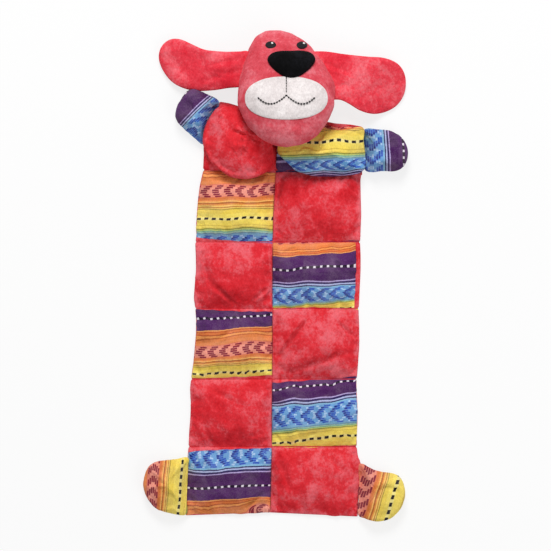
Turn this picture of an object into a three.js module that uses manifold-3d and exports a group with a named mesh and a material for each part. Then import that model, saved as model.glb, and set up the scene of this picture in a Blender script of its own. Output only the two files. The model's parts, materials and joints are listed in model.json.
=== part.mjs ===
// Squeaky dog toy: a flat patchwork mat of twelve squeaker pockets with a stuffed head, two floppy
// ears, two paws and two feet. It lies on its back, face up. Millimetres, +X to the right of the
// face, +Y towards the head, +Z up from the floor.
import * as THREE from 'three';
import * as BufferGeometryUtils from 'three/addons/utils/BufferGeometryUtils.js';
import Module from 'manifold-3d';

const wasm = await Module();
wasm.setup();

// Driving dimensions of the mat
const MAT_WIDTH = 208;
const ROW_PITCH = 85.3;
const CHEST_LEFT_WIDTH = 86;
const CHEST_RIGHT_WIDTH = 110;
const CHEST_HEIGHT = 84;
const CHEST_CROWN = 34;
const POCKET_CROWN = 13.2;
const FRONT_CLOTH = 2.5;
const BACK_CLOTH = 3;
const EDGE_CLOTH = 0.9;
const SEAM_ROLL_RADIUS = 1.5;

// Driving dimensions of the squeakers
const BULB_RADIUS = 21;
const BULB_HEIGHT = 9.5;
const BULB_WALL = 1;
const BULB_MOUTH_RADIUS = 4.6;
const REED_BORE_RADIUS = 1.6;
const REED_PLUG_DEPTH = 3.5;
const REED_FLANGE_RADIUS = 6.5;
const REED_FLANGE_THICKNESS = 1.1;

// Driving dimensions of the head and limbs
const HEAD_LENGTH = 144.8;
const HEAD_HALF_WIDTH = 60.5;
const HEAD_FRONT_DEPTH = 38;
const HEAD_BACK_DEPTH = 28;
const HEAD_CLOTH = 3;
const CHIN_HEIGHT = 52.2;
const HEAD_LEAN = 40;
const CHIN_OVERLAP = 58;
const HEAD_MIDDLE_X = 12;
const CROWN_SHIFT = 12.6;
const NECK_WIDTH = 44;
const NECK_LENGTH = 22;
const EAR_LENGTH = 109;
const EAR_WIDTH = 64;
const EAR_LAYER = 3.6;
const EAR_DROOP_DEGREES = 11;
const EAR_ROOT_GAP = 0.8;
const PAW_LENGTH = 50;
const PAW_CROWN = 26;
const FOOT_LENGTH = 52;
const FOOT_CROWN = 24;
const NOSE_HALF_WIDTH = 26;
const NOSE_HALF_HEIGHT = 15;
const NOSE_THICKNESS = 7;
const MUZZLE_HALF_WIDTH = 50;
const MUZZLE_HALF_HEIGHT = 26;
const MUZZLE_THICKNESS = 2;
const EYE_HALF_WIDTH = 6.5;
const EYE_HALF_HEIGHT = 4.5;
const EYE_THICKNESS = 1.4;
const EYE_SIDE_SHIFT = 19;
const NOSE_SIDE_SHIFT = 5;
const LIMB_SEAM_GAP = 0.8;

// Clearances between pieces
const SEAT_GAP = 0.3;
const FACE_GAP = 0.4;
const FILL_GAP = 0.6;
const PRESS_GAP = 2.4;
const WELD_DISTANCE = 0.001;

// How finely the round forms are cut
const PATCH_SIDE_STEPS = 6;
const ROUND_STEPS = 24;
const SMALL_ROUND_STEPS = 12;
const HEAD_STATIONS = 14;
const HEAD_HALF_STEPS = 10;
// How much of each side a patch's clipped corner takes
const CLIPPED_CORNER_SHARE = 0.037;
// How late towards its rim a pocket's rings turn from ovals to the four-sided outline
const POCKET_CORNER_POWER = 4;

// Seam lines across the mat, from its top edge to its bottom edge, as shares of the row pitch
const SEAM_Y_SHARES = [2.51, 1.517, 0.477, -0.484, -1.502, -2.477, -3.481];
// Where each seam line meets the left edge, the column seam and the right edge, as shares of the width
const LEFT_EDGE_SHARES = [0.43, 0.459, 0.4887, 0.4946, 0.51, 0.518, 0.538];
const COLUMN_SEAM_SHARES = [0.015, 0.021, 0.0215, 0.0244, 0.0275, 0.032, 0.0385];
const RIGHT_EDGE_SHARES = [0.529, 0.5125, 0.5, 0.4885, 0.4885, 0.484, 0.49];

// Colours
const CORAL = 0xd84452;
const CORAL_HEAD = 0xcb5262;
const STRIPE_ORANGE = 0xd9803f;
const STRIPE_YELLOW = 0xe3c65a;
const STRIPE_BLUE = 0x6f9fd0;
const STRIPE_PURPLE = 0x6a4380;
const NOSE_BLACK = 0x141416;
const MUZZLE_CREAM = 0xe9e2d8;
const BULB_WHITE = 0xe8e8e4;
const REED_WHITE = 0xf4f3ee;
const FILL_WHITE = 0xf2f1ec;

const CLOTH_ROUGHNESS = 0.95;
const PLASTIC_ROUGHNESS = 0.4;

const toy = new THREE.Group();

// Shape builders

const asDrawn = (x, y, z) => new THREE.Vector3(x, y, z);

// A closed body whose rings all follow one outline. Each profile entry is [share of the outline,
// height]. It runs from the middle of the top, over the rim, to the middle of the underside.
function ringBody(outline, centre, profile, put = asDrawn) {
  const positions = [];
  const rings = [];
  for (const [share, height] of profile) {
    const ring = [];
    const points = share === 0 ? [centre] : outline;
    for (const point of points) {
      const x = centre.x + share * (point.x - centre.x);
      const y = centre.y + share * (point.y - centre.y);
      ring.push(positions.length / 3);
      positions.push(...put(x, y, height));
    }
    rings.push(ring);
  }
  const index = [];
  const count = outline.length;
  for (let r = 0; r + 1 < rings.length; r += 1) {
    const inner = rings[r];
    const outer = rings[r + 1];
    for (let i = 0; i < count; i += 1) {
      const j = (i + 1) % count;
      if (inner.length === 1) {
        index.push(inner[0], outer[i], outer[j]);
      } else if (outer.length === 1) {
        index.push(inner[i], outer[0], inner[j]);
      } else {
        index.push(inner[i], outer[i], outer[j]);
        index.push(inner[i], outer[j], inner[j]);
      }
    }
  }
  return closedGeometry(positions, index);
}

function closedGeometry(positions, index) {
  const geometry = new THREE.BufferGeometry();
  geometry.setAttribute('position', new THREE.Float32BufferAttribute(positions, 3));
  geometry.setIndex(index);
  geometry.computeVertexNormals();
  return geometry;
}

// A smooth closed outline through hand-set points, walked anticlockwise
function smoothOutline(points, steps) {
  const curve = new THREE.CatmullRomCurve3(points.map((p) => new THREE.Vector3(p.x, p.y, 0)), true);
  const spaced = curve.getSpacedPoints(steps).slice(0, steps);
  const outline = spaced.map((p) => new THREE.Vector2(p.x, p.y));
  return THREE.ShapeUtils.isClockWise(outline) ? outline.reverse() : outline;
}

// Draws the rings of a four-sided pocket in from its corners, to ovals near its middle
function pocketPlace(outline, centre) {
  const halfWidth = Math.max(...outline.map((point) => Math.abs(point.x - centre.x)));
  const halfHeight = Math.max(...outline.map((point) => Math.abs(point.y - centre.y)));
  return (x, y, z) => {
    const acrossShare = Math.abs(x - centre.x) / halfWidth;
    const upShare = Math.abs(y - centre.y) / halfHeight;
    const ringShare = Math.max(acrossShare, upShare);
    const roundShare = Math.hypot(acrossShare, upShare);
    if (ringShare === 0) return asDrawn(x, y, z);
    const keep = Math.min(ringShare ** POCKET_CORNER_POWER, 1);
    const draw = keep + (1 - keep) * (ringShare / roundShare);
    return asDrawn(centre.x + (x - centre.x) * draw, centre.y + (y - centre.y) * draw, z);
  };
}

// A four-sided outline with slightly clipped corners, walked anticlockwise
function patchOutline(corners) {
  const outline = [];
  for (let side = 0; side < corners.length; side += 1) {
    const from = corners[side];
    const to = corners[(side + 1) % corners.length];
    for (let step = 0; step < PATCH_SIDE_STEPS; step += 1) {
      const along = step / (PATCH_SIDE_STEPS - 1);
      const share = THREE.MathUtils.lerp(CLIPPED_CORNER_SHARE, 1 - CLIPPED_CORNER_SHARE, along);
      outline.push(new THREE.Vector2().lerpVectors(from, to, share));
    }
  }
  return outline;
}

// A smooth outline sewn down along one straight side. Its points are shares outwards from the seam
// and along it.
function sewnOutline(shares, reach, width, root, out, along) {
  const local = smoothOutline(shares.map(([x, y]) => new THREE.Vector2(x * reach, y * width)), ROUND_STEPS);
  const outline = local.map((point) => new THREE.Vector2(
    root.x + Math.max(point.x, 0) * out.x + point.y * along.x,
    root.y + Math.max(point.x, 0) * out.y + point.y * along.y,
  ));
  return THREE.ShapeUtils.isClockWise(outline) ? outline.reverse() : outline;
}

function ellipseOutline(centre, halfWidth, halfHeight, steps) {
  const curve = new THREE.EllipseCurve(centre.x, centre.y, halfWidth, halfHeight);
  return curve.getPoints(steps).slice(0, steps);
}

function middleOf(outline) {
  const middle = new THREE.Vector2();
  outline.forEach((point) => middle.add(point));
  return middle.divideScalar(outline.length);
}

// Solids for joining and cutting

function toSolid(geometry) {
  const bare = geometry.clone();
  bare.deleteAttribute('normal');
  bare.deleteAttribute('uv');
  const merged = BufferGeometryUtils.mergeVertices(bare);
  const vertProperties = new Float32Array(merged.attributes.position.array);
  const triVerts = new Uint32Array(merged.index.array);
  return new wasm.Manifold(new wasm.Mesh({ numProp: 3, vertProperties, triVerts }));
}

function fromSolid(solid) {
  const mesh = solid.getMesh();
  return closedGeometry(Array.from(mesh.vertProperties), Array.from(mesh.triVerts));
}

function addPiece(name, geometry, colour, roughness = CLOTH_ROUGHNESS) {
  const material = new THREE.MeshStandardMaterial({ color: colour, roughness, metalness: 0 });
  const mesh = new THREE.Mesh(geometry, material);
  mesh.name = name;
  toy.add(mesh);
  return mesh;
}

// Places on the mat

const seamY = (line) => SEAM_Y_SHARES[line] * ROW_PITCH;
const leftX = (line) => -LEFT_EDGE_SHARES[line] * MAT_WIDTH;
const columnX = (line) => -COLUMN_SEAM_SHARES[line] * MAT_WIDTH;
const rightX = (line) => RIGHT_EDGE_SHARES[line] * MAT_WIDTH;
const ROW_TOTAL = SEAM_Y_SHARES.length - 1;
const SIDES = ['left', 'right'];

// The cloth layers meet at the height of the seams
const layerZ = BACK_CLOTH;
const rollReach = SEAM_ROLL_RADIUS + SEAT_GAP;

// Corners of one patch, drawn in from its seam lines, anticlockwise from its lower left
function patchCorners(row, side) {
  const upper = seamY(row) - rollReach;
  const lower = seamY(row + 1) + rollReach;
  const west = side === 'left' ? leftX : columnX;
  const east = side === 'left' ? columnX : rightX;
  const westInset = side === 'left' ? 0 : SEAT_GAP / 2;
  const eastInset = side === 'left' ? SEAT_GAP / 2 : 0;
  return [
    new THREE.Vector2(west(row + 1) + westInset, lower),
    new THREE.Vector2(east(row + 1) - eastInset, lower),
    new THREE.Vector2(east(row) - eastInset, upper),
    new THREE.Vector2(west(row) + westInset, upper),
  ];
}

const chestCornerY = seamY(1) + rollReach;

// Head

const headEndY = seamY(0) - CHIN_OVERLAP;
const CROWN_SHIFT_START_SHARE = 0.55;
const CROWN_TAPER_START_SHARE = 0.45;
const CROWN_TAPER_SHARE = 0.3;

// The head's cross-section at a share of the way from the chin to the crown
function headSection(share, inset) {
  const length = HEAD_LENGTH - 2 * inset;
  const y = headEndY + inset + share * length;
  const round = 2 * Math.sqrt(Math.max(share * (1 - share), 0));
  const taper = 1 - CROWN_TAPER_SHARE * Math.max(share - CROWN_TAPER_START_SHARE, 0);
  const bend = Math.max(share - CROWN_SHIFT_START_SHARE, 0) / (1 - CROWN_SHIFT_START_SHARE);
  return {
    x: HEAD_MIDDLE_X - CROWN_SHIFT * bend * bend,
    y,
    z: CHIN_HEIGHT - HEAD_LEAN * ((y - headEndY) / HEAD_LENGTH),
    halfWidth: (HEAD_HALF_WIDTH - inset) * round * taper,
    front: (HEAD_FRONT_DEPTH - inset) * round * taper,
    back: (HEAD_BACK_DEPTH - inset) * round * taper,
  };
}

// Height of the head's front or back surface over a point of the plan
function headSurfaceZ(x, y, face) {
  const share = THREE.MathUtils.clamp((y - headEndY) / HEAD_LENGTH, 0, 1);
  const section = headSection(share, 0);
  const across = section.halfWidth > 0 ? (x - section.x) / section.halfWidth : 1;
  const rise = Math.sqrt(Math.max(1 - across * across, 0));
  return face === 'front' ? section.z + section.front * rise : section.z - section.back * rise;
}

// A point at some height off the face, square to it
function onFace(x, y, height) {
  const step = SEAT_GAP;
  const z = headSurfaceZ(x, y, 'front');
  const slopeX = (headSurfaceZ(x + step, y, 'front') - headSurfaceZ(x - step, y, 'front')) / (2 * step);
  const slopeY = (headSurfaceZ(x, y + step, 'front') - headSurfaceZ(x, y - step, 'front')) / (2 * step);
  const normal = new THREE.Vector3(-slopeX, -slopeY, 1).normalize();
  return new THREE.Vector3(x, y, z).addScaledVector(normal, height);
}

// One half of an egg-shaped layer. A shell has an inner wall, the stuffing has none.
function headHalfPoints(face, inset, lift) {
  const rows = [];
  for (let i = 0; i <= HEAD_STATIONS; i += 1) {
    const share = (1 - Math.cos((Math.PI * i) / HEAD_STATIONS)) / 2;
    const section = headSection(share, inset);
    const depth = face === 'front' ? section.front : -section.back;
    const isPole = i === 0 || i === HEAD_STATIONS;
    const steps = isPole ? 0 : HEAD_HALF_STEPS;
    const row = [];
    for (let j = 0; j <= steps; j += 1) {
      const turn = isPole ? 0 : (Math.PI * j) / HEAD_HALF_STEPS;
      const halfWidth = isPole ? 0 : section.halfWidth;
      const rise = isPole ? 0 : depth * Math.sin(turn);
      row.push([section.x + halfWidth * Math.cos(turn), section.y, section.z + rise + lift]);
    }
    rows.push(row);
  }
  return rows;
}

function stitchRows(rows, index, offset, flip) {
  const starts = [];
  let next = offset;
  for (const row of rows) {
    starts.push(next);
    next += row.length;
  }
  const triangle = (a, b, c) => (flip ? index.push(a, c, b) : index.push(a, b, c));
  for (let i = 0; i + 1 < rows.length; i += 1) {
    for (let j = 0; j < HEAD_HALF_STEPS; j += 1) {
      const lower = (k) => starts[i] + Math.min(k, rows[i].length - 1);
      const upper = (k) => starts[i + 1] + Math.min(k, rows[i + 1].length - 1);
      if (rows[i].length > 1) triangle(lower(j), lower(j + 1), upper(j));
      if (rows[i + 1].length > 1) triangle(lower(j + 1), upper(j + 1), upper(j));
    }
  }
  return { starts, next };
}

function headShellHalf(face) {
  const lift = face === 'front' ? SEAT_GAP / 2 : -SEAT_GAP / 2;
  const outer = headHalfPoints(face, 0, lift);
  const inner = headHalfPoints(face, HEAD_CLOTH, lift);
  const positions = [...outer.flat(2), ...inner.flat(2)];
  const index = [];
  const flip = face === 'front';
  const outside = stitchRows(outer, index, 0, flip);
  const inside = stitchRows(inner, index, outside.next, !flip);
  const rim = (a, b, c, d) => index.push(...(flip ? [a, c, b, a, d, c] : [a, b, c, a, c, d]));
  for (let i = 0; i < HEAD_STATIONS; i += 1) {
    const first = [outside.starts[i], outside.starts[i + 1], inside.starts[i + 1], inside.starts[i]];
    const last = [
      outside.starts[i] + outer[i].length - 1,
      inside.starts[i] + inner[i].length - 1,
      inside.starts[i + 1] + inner[i + 1].length - 1,
      outside.starts[i + 1] + outer[i + 1].length - 1,
    ];
    rim(...first);
    rim(...last);
  }
  return closedGeometry(positions, index);
}

function headFill() {
  const inset = HEAD_CLOTH + SEAT_GAP;
  const front = headHalfPoints('front', inset, 0);
  const back = headHalfPoints('back', inset, 0);
  const positions = [...front.flat(2), ...back.flat(2)];
  const index = [];
  const upper = stitchRows(front, index, 0, true);
  stitchRows(back, index, upper.next, false);
  const geometry = closedGeometry(positions, index);
  geometry.deleteAttribute('normal');
  return BufferGeometryUtils.mergeVertices(geometry, WELD_DISTANCE);
}

function buildHead() {
  addPiece('head_front', headShellHalf('front'), CORAL_HEAD);
  addPiece('head_back', headShellHalf('back'), CORAL_HEAD);
  addPiece('head_stuffing', headFill(), FILL_WHITE);
  buildFace();
  buildNeck();
}

// How far up the chest pockets the neck is sewn on
const NECK_LINE_SHARE = 0.87;
const neckLineY = chestCornerY + NECK_LINE_SHARE * CHEST_HEIGHT;
const NECK_CROWN_SHARE = 0.6;
const MUZZLE_CENTRE_SHARE = 0.41;
const NOSE_CENTRE_SHARE = 0.70;
const EYE_CENTRE_SHARE = 0.865;
const FACE_DOME_SHARES = [[0, 1], [0.4, 0.92], [0.7, 0.74], [0.9, 0.5], [1, 0.25]];
// A dog's nose: wide and level on top, narrower below
const NOSE_SHARES = [
  [0, -1], [0.45, -0.72], [0.85, -0.1], [1, 0.45], [0.72, 0.92],
  [0, 1], [-0.72, 0.92], [-1, 0.45], [-0.85, -0.1], [-0.45, -0.72],
];

// A cushioned piece that lies on the face
function facePiece(name, outline, thickness, colour) {
  const profile = FACE_DOME_SHARES.map(([share, rise]) => [share, FACE_GAP + thickness * rise]);
  profile.push(...FACE_DOME_SHARES.toReversed().map(([share]) => [share, FACE_GAP]));
  addPiece(name, ringBody(outline, middleOf(outline), profile, onFace), colour);
}

function buildFace() {
  const faceY = (share) => headEndY + share * HEAD_LENGTH;
  const muzzleCentre = new THREE.Vector2(HEAD_MIDDLE_X, faceY(MUZZLE_CENTRE_SHARE));
  const muzzle = ellipseOutline(muzzleCentre, MUZZLE_HALF_WIDTH, MUZZLE_HALF_HEIGHT, ROUND_STEPS);
  facePiece('muzzle_patch', muzzle, MUZZLE_THICKNESS, MUZZLE_CREAM);

  const noseX = HEAD_MIDDLE_X + NOSE_SIDE_SHIFT;
  const noseY = faceY(NOSE_CENTRE_SHARE);
  const nosePoints = NOSE_SHARES.map(([across, up]) => new THREE.Vector2(
    noseX + across * NOSE_HALF_WIDTH,
    noseY + up * NOSE_HALF_HEIGHT,
  ));
  facePiece('nose', smoothOutline(nosePoints, ROUND_STEPS), NOSE_THICKNESS, NOSE_BLACK);

  for (const [side, sign] of [['left', -1], ['right', 1]]) {
    const x = HEAD_MIDDLE_X + sign * EYE_SIDE_SHIFT;
    const centre = new THREE.Vector2(x, faceY(EYE_CENTRE_SHARE));
    const outline = ellipseOutline(centre, EYE_HALF_WIDTH, EYE_HALF_HEIGHT, SMALL_ROUND_STEPS);
    facePiece(`eye_${side}`, outline, EYE_THICKNESS, NOSE_BLACK);
  }
}

// The short neck lies under the back of the head, against the neckline of the mat
function buildNeck() {
  const lower = neckLineY + SEAT_GAP;
  const upper = lower + NECK_LENGTH;
  const west = HEAD_MIDDLE_X - NECK_WIDTH / 2;
  const east = HEAD_MIDDLE_X + NECK_WIDTH / 2;
  const outline = patchOutline([
    new THREE.Vector2(west, lower),
    new THREE.Vector2(east, lower),
    new THREE.Vector2(east, upper),
    new THREE.Vector2(west, upper),
  ]);
  const under = layerZ - EDGE_CLOTH;
  const place = (x, y, z) => {
    const top = headSurfaceZ(x, y, 'back') - SEAT_GAP;
    return new THREE.Vector3(x, y, z === under ? z : Math.min(z, top));
  };
  const crown = layerZ + BACK_CLOTH;
  const rim = layerZ + EDGE_CLOTH;
  const profile = [[0, crown], [NECK_CROWN_SHARE, crown], [1, rim], [1, under], [0, under]];
  addPiece('neck', ringBody(outline, middleOf(outline), profile, place), CORAL);
}

// Mat

// Outlines of the two chest pockets as shares of their width and height, from the column seam
const CHEST_LEFT_SHARES = [
  [0, 0], [0.33, 0], [0.66, 0], [0.985, 0.01], [1, 0.17], [1, 0.36],
  [0.92, 0.57], [0.84, 0.78], [0.76, 0.99], [0.62, 0.965], [0.48, 0.915], [0.24, 0.875], [0, 0.845],
  [0, 0.63], [0, 0.42], [0, 0.21],
];
const CHEST_RIGHT_SHARES = [
  [0, 0], [0.25, 0], [0.5, 0], [0.75, 0], [1, 0], [1, 0.2], [1, 0.4],
  [1, 0.62], [0.87, 0.65], [0.7, 0.665], [0.56, 0.7], [0.4, 0.755], [0.2, 0.835],
  [0, 0.845], [0, 0.56], [0, 0.28],
];
const CHEST_LEFT_MIDDLE_SHARES = [0.5, 0.46];
const CHEST_RIGHT_MIDDLE_SHARES = [0.54, 0.33];

function chestPlace(side, shareX, shareY) {
  const width = side === 'left' ? -CHEST_LEFT_WIDTH : CHEST_RIGHT_WIDTH;
  const inset = side === 'left' ? -SEAT_GAP / 2 : SEAT_GAP / 2;
  const x = columnX(1) + inset + shareX * width;
  return new THREE.Vector2(x, chestCornerY + shareY * CHEST_HEIGHT);
}

function chestOutline(side) {
  const shares = side === 'left' ? CHEST_LEFT_SHARES : CHEST_RIGHT_SHARES;
  const outline = shares.map(([shareX, shareY]) => chestPlace(side, shareX, shareY));
  return THREE.ShapeUtils.isClockWise(outline) ? outline.reverse() : outline;
}

function chestMiddle(side) {
  return chestPlace(side, ...(side === 'left' ? CHEST_LEFT_MIDDLE_SHARES : CHEST_RIGHT_MIDDLE_SHARES));
}

// The chest pockets are pressed in where the head lies on them
function underHead(cut) {
  return (x, y, z) => {
    const limit = headSurfaceZ(x, y, 'back') - PRESS_GAP - cut;
    return new THREE.Vector3(x, y, z > layerZ + EDGE_CLOTH ? Math.min(z, limit) : z);
  };
}

// Height shares of a stuffed crown, from the middle out to where the flat seam margin starts
const CHEST_DOME_SHARES = [[0, 1], [0.3, 0.95], [0.55, 0.84], [0.75, 0.66], [0.88, 0.42], [0.94, 0.2]];
const CHEST_MARGIN_SHARE = 0.95;
const CHEST_FLOOR_SHARE = 0.9;
const CHEST_FILL_FLOOR_SHARE = 0.84;
const POCKET_DOME_SHARES = [[0, 1], [0.35, 0.94], [0.6, 0.72], [0.76, 0.4], [0.88, 0]];
const POCKET_HOLLOW_SHARES = [[0.86, 0], [0.62, 0.64], [0.36, 0.93], [0, 1]];

function patchPiece(row, side, colour) {
  const outline = patchOutline(patchCorners(row, side));
  const seatZ = layerZ + SEAT_GAP;
  const edgeZ = seatZ + EDGE_CLOTH;
  const hollow = POCKET_CROWN + EDGE_CLOTH - FRONT_CLOTH;
  const profile = POCKET_DOME_SHARES.map(([share, rise]) => [share, edgeZ + POCKET_CROWN * rise]);
  profile.push([1, edgeZ], [1, seatZ]);
  profile.push(...POCKET_HOLLOW_SHARES.map(([share, rise]) => [share, seatZ + hollow * rise]));
  const middle = middleOf(outline);
  const geometry = ringBody(outline, middle, profile, pocketPlace(outline, middle));
  addPiece(`front_patch_row${row + 1}_${side}`, geometry, colour);
  return middle;
}

function chestPiece(side, colour) {
  const outline = chestOutline(side);
  const middle = chestMiddle(side);
  const seatZ = layerZ + SEAT_GAP;
  const edgeZ = seatZ + EDGE_CLOTH;
  const profile = CHEST_DOME_SHARES.map(([share, rise]) => [share, edgeZ + CHEST_CROWN * rise]);
  profile.push([CHEST_MARGIN_SHARE, edgeZ], [1, edgeZ], [1, seatZ], [CHEST_FLOOR_SHARE, seatZ], [0, seatZ]);
  const outer = toSolid(ringBody(outline, middle, profile, underHead(0)));
  const hollowShare = 1 - (2 * FRONT_CLOTH) / CHEST_LEFT_WIDTH;
  const hollowTop = CHEST_DOME_SHARES.map(([share, rise]) => [
    share * hollowShare,
    edgeZ + CHEST_CROWN * rise - FRONT_CLOTH,
  ]);
  const hollowFloor = seatZ - FRONT_CLOTH;
  const cavityRim = CHEST_FLOOR_SHARE * hollowShare;
  const cavityProfile = [...hollowTop, [cavityRim, hollowFloor], [0, hollowFloor]];
  const cavity = toSolid(ringBody(outline, middle, cavityProfile, underHead(FRONT_CLOTH)));
  const name = `front_patch_row1_${side}`;
  addPiece(name, fromSolid(outer.subtract(cavity)), colour);

  // Loose fibre fills the pocket round and over the squeaker
  const fillShare = hollowShare - (2 * FILL_GAP) / CHEST_LEFT_WIDTH;
  const fillTop = CHEST_DOME_SHARES.map(([share, rise]) => [
    share * fillShare,
    edgeZ + CHEST_CROWN * rise - FRONT_CLOTH - FILL_GAP,
  ]);
  const fillProfile = [...fillTop, [CHEST_FILL_FLOOR_SHARE * fillShare, seatZ], [0, seatZ]];
  const fill = toSolid(ringBody(outline, middle, fillProfile, underHead(FRONT_CLOTH + FILL_GAP)));
  const roomRadius = BULB_RADIUS + FILL_GAP;
  const roomHeight = 2 * (SEAT_GAP + BULB_HEIGHT + SEAT_GAP + REED_FLANGE_THICKNESS + FILL_GAP);
  const room = new THREE.CylinderGeometry(roomRadius, roomRadius, roomHeight, ROUND_STEPS);
  room.rotateX(Math.PI / 2);
  room.translate(middle.x, middle.y, layerZ);
  addPiece(`chest_stuffing_${side}`, fromSolid(fill.subtract(toSolid(room))), FILL_WHITE);
  return middle;
}

// How much of each row of the back lies flat on the floor
const BACK_FLAT_SHARE = 0.84;

// The back panel is one cloth in rows. It is thinned to its seams, and the rolled seam under each
// row is the line that the next row folds about.
function backStrip(row) {
  const outline = row === 0 ? chestBackOutline() : rowBackOutline(row);
  const middle = new THREE.Vector2(columnX(row + 1), (seamY(row) + seamY(row + 1)) / 2);
  const rim = layerZ - EDGE_CLOTH;
  const profile = [[0, layerZ], [1, layerZ], [1, rim], [BACK_FLAT_SHARE, 0], [0, 0]];
  const sheet = ringBody(outline, middle, profile);
  const name = `back_panel_row${row + 1}`;
  if (row === ROW_TOTAL - 1) {
    addPiece(name, sheet, CORAL);
    return;
  }
  const inset = 2 * SEAM_ROLL_RADIUS;
  const west = leftX(row + 1) + inset;
  const east = Math.min(rightX(row + 1), outlineEast(outline)) - inset;
  const roll = new THREE.CylinderGeometry(
    SEAM_ROLL_RADIUS,
    SEAM_ROLL_RADIUS,
    east - west,
    SMALL_ROUND_STEPS,
  );
  roll.rotateZ(Math.PI / 2);
  roll.translate((west + east) / 2, seamY(row + 1), layerZ);
  addPiece(name, fromSolid(toSolid(sheet).add(toSolid(roll))), CORAL);
}

const outlineEast = (outline) => Math.max(...outline.map((point) => point.x));

function rowBackOutline(row) {
  const upper = seamY(row) - rollReach;
  const lower = seamY(row + 1);
  return patchOutline([
    new THREE.Vector2(leftX(row + 1), lower),
    new THREE.Vector2(rightX(row + 1), lower),
    new THREE.Vector2(rightX(row), upper),
    new THREE.Vector2(leftX(row), upper),
  ]);
}

function chestBackOutline() {
  const isInner = ([shareX]) => shareX > 0;
  const left = CHEST_LEFT_SHARES.filter(isInner).map(([x, y]) => chestPlace('left', x, y));
  const right = CHEST_RIGHT_SHARES.filter(isInner).map(([x, y]) => chestPlace('right', x, y));
  const outline = [...right, ...left.reverse()];
  const hem = chestCornerY + SEAT_GAP;
  return outline.map((point) => new THREE.Vector2(point.x, point.y < hem ? seamY(1) : point.y));
}

// Squeakers

const BULB_FOOT_SHARE = 0.78;
const BULB_SHOULDER_SHARE = 0.72;
const BULB_BULGE_START_SHARE = 0.3;
const BULB_BULGE_END_SHARE = 0.62;

// A flat hollow bulb with a mouth on top, standing on the back panel
function squeakerBulb(name, middle) {
  const foot = BULB_FOOT_SHARE * BULB_RADIUS;
  const shoulder = BULB_SHOULDER_SHARE * BULB_RADIUS;
  const bulgeStart = BULB_BULGE_START_SHARE * BULB_HEIGHT;
  const bulgeEnd = BULB_BULGE_END_SHARE * BULB_HEIGHT;
  const ceiling = BULB_HEIGHT - BULB_WALL;
  const inside = BULB_RADIUS - BULB_WALL;
  const outer = [
    [0, 0], [foot, 0], [BULB_RADIUS, bulgeStart], [BULB_RADIUS, bulgeEnd],
    [shoulder, BULB_HEIGHT], [BULB_MOUTH_RADIUS, BULB_HEIGHT],
  ];
  const inner = [
    [BULB_MOUTH_RADIUS, ceiling], [shoulder - BULB_WALL / 2, ceiling], [inside, bulgeEnd],
    [inside, bulgeStart], [foot - BULB_WALL / 2, BULB_WALL], [0, BULB_WALL],
  ];
  const profile = [...outer, ...inner].map(([radius, height]) => new THREE.Vector2(radius, height));
  const geometry = new THREE.LatheGeometry(profile, SMALL_ROUND_STEPS);
  geometry.rotateX(Math.PI / 2);
  const bulb = addPiece(name, geometry, BULB_WHITE, PLASTIC_ROUGHNESS);
  bulb.position.set(middle.x, middle.y, layerZ + SEAT_GAP);
}

// The reed's holder plugs into the mouth, with the air bore through it
function reedInsert(name, middle) {
  const plugRadius = BULB_MOUTH_RADIUS - SEAT_GAP;
  const profile = [
    [REED_BORE_RADIUS, -REED_PLUG_DEPTH], [plugRadius, -REED_PLUG_DEPTH], [plugRadius, SEAT_GAP],
    [REED_FLANGE_RADIUS, SEAT_GAP], [REED_FLANGE_RADIUS, SEAT_GAP + REED_FLANGE_THICKNESS],
    [REED_BORE_RADIUS, SEAT_GAP + REED_FLANGE_THICKNESS], [REED_BORE_RADIUS, -REED_PLUG_DEPTH],
  ].map(([radius, height]) => new THREE.Vector2(radius, height));
  const geometry = new THREE.LatheGeometry(profile, SMALL_ROUND_STEPS);
  geometry.rotateX(Math.PI / 2);
  const reed = addPiece(name, geometry, REED_WHITE, PLASTIC_ROUGHNESS);
  reed.position.set(middle.x, middle.y, layerZ + SEAT_GAP + BULB_HEIGHT);
}

// Left patches are coral in odd rows and striped in even rows, right patches the other way round
const STRIPE_BY_ROW = [STRIPE_YELLOW, STRIPE_ORANGE, STRIPE_PURPLE, STRIPE_ORANGE, STRIPE_BLUE, STRIPE_BLUE];

function buildMat() {
  for (let row = 0; row < ROW_TOTAL; row += 1) {
    backStrip(row);
    SIDES.forEach((side, column) => {
      const isCoral = (row + column) % 2 === 0;
      const colour = isCoral ? CORAL : STRIPE_BY_ROW[row];
      const middle = row === 0 ? chestPiece(side, colour) : patchPiece(row, side, colour);
      squeakerBulb(`squeaker_bulb_row${row + 1}_${side}`, middle);
      reedInsert(`squeaker_reed_row${row + 1}_${side}`, middle);
    });
  }
}

// Ears

// Outlines as shares of the ear's length outwards from its root, and of its width along the root
const EAR_LEFT_SHARES = [
  [0, 0.36], [0.225, 0.263], [0.473, 0.21], [0.63, 0.258], [0.765, 0.307], [0.887, 0.246],
  [0.959, 0.071], [0.948, -0.161], [0.854, -0.379], [0.734, -0.551], [0.489, -0.607],
  [0.266, -0.518], [0, -0.353], [0, 0],
];
const EAR_RIGHT_SHARES = [
  [0, 0.499], [0.261, 0.272], [0.501, 0.081], [0.737, -0.104], [0.829, -0.308], [0.841, -0.578],
  [0.758, -0.87], [0.592, -1.034], [0.375, -1.012], [0.214, -0.829], [0.102, -0.613],
  [0, -0.499], [0, 0],
];
// The stretch of the head's side that each root is sewn to, as shares of the head's length
const EAR_LEFT_ROOT_SHARES = [0.51, 0.815];
const EAR_RIGHT_ROOT_SHARES = [0.41, 0.826];
const EAR_DOME_SHARES = [[0, 1], [0.6, 0.85], [0.85, 0.6], [0.96, 0.3], [1, 0]];

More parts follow.
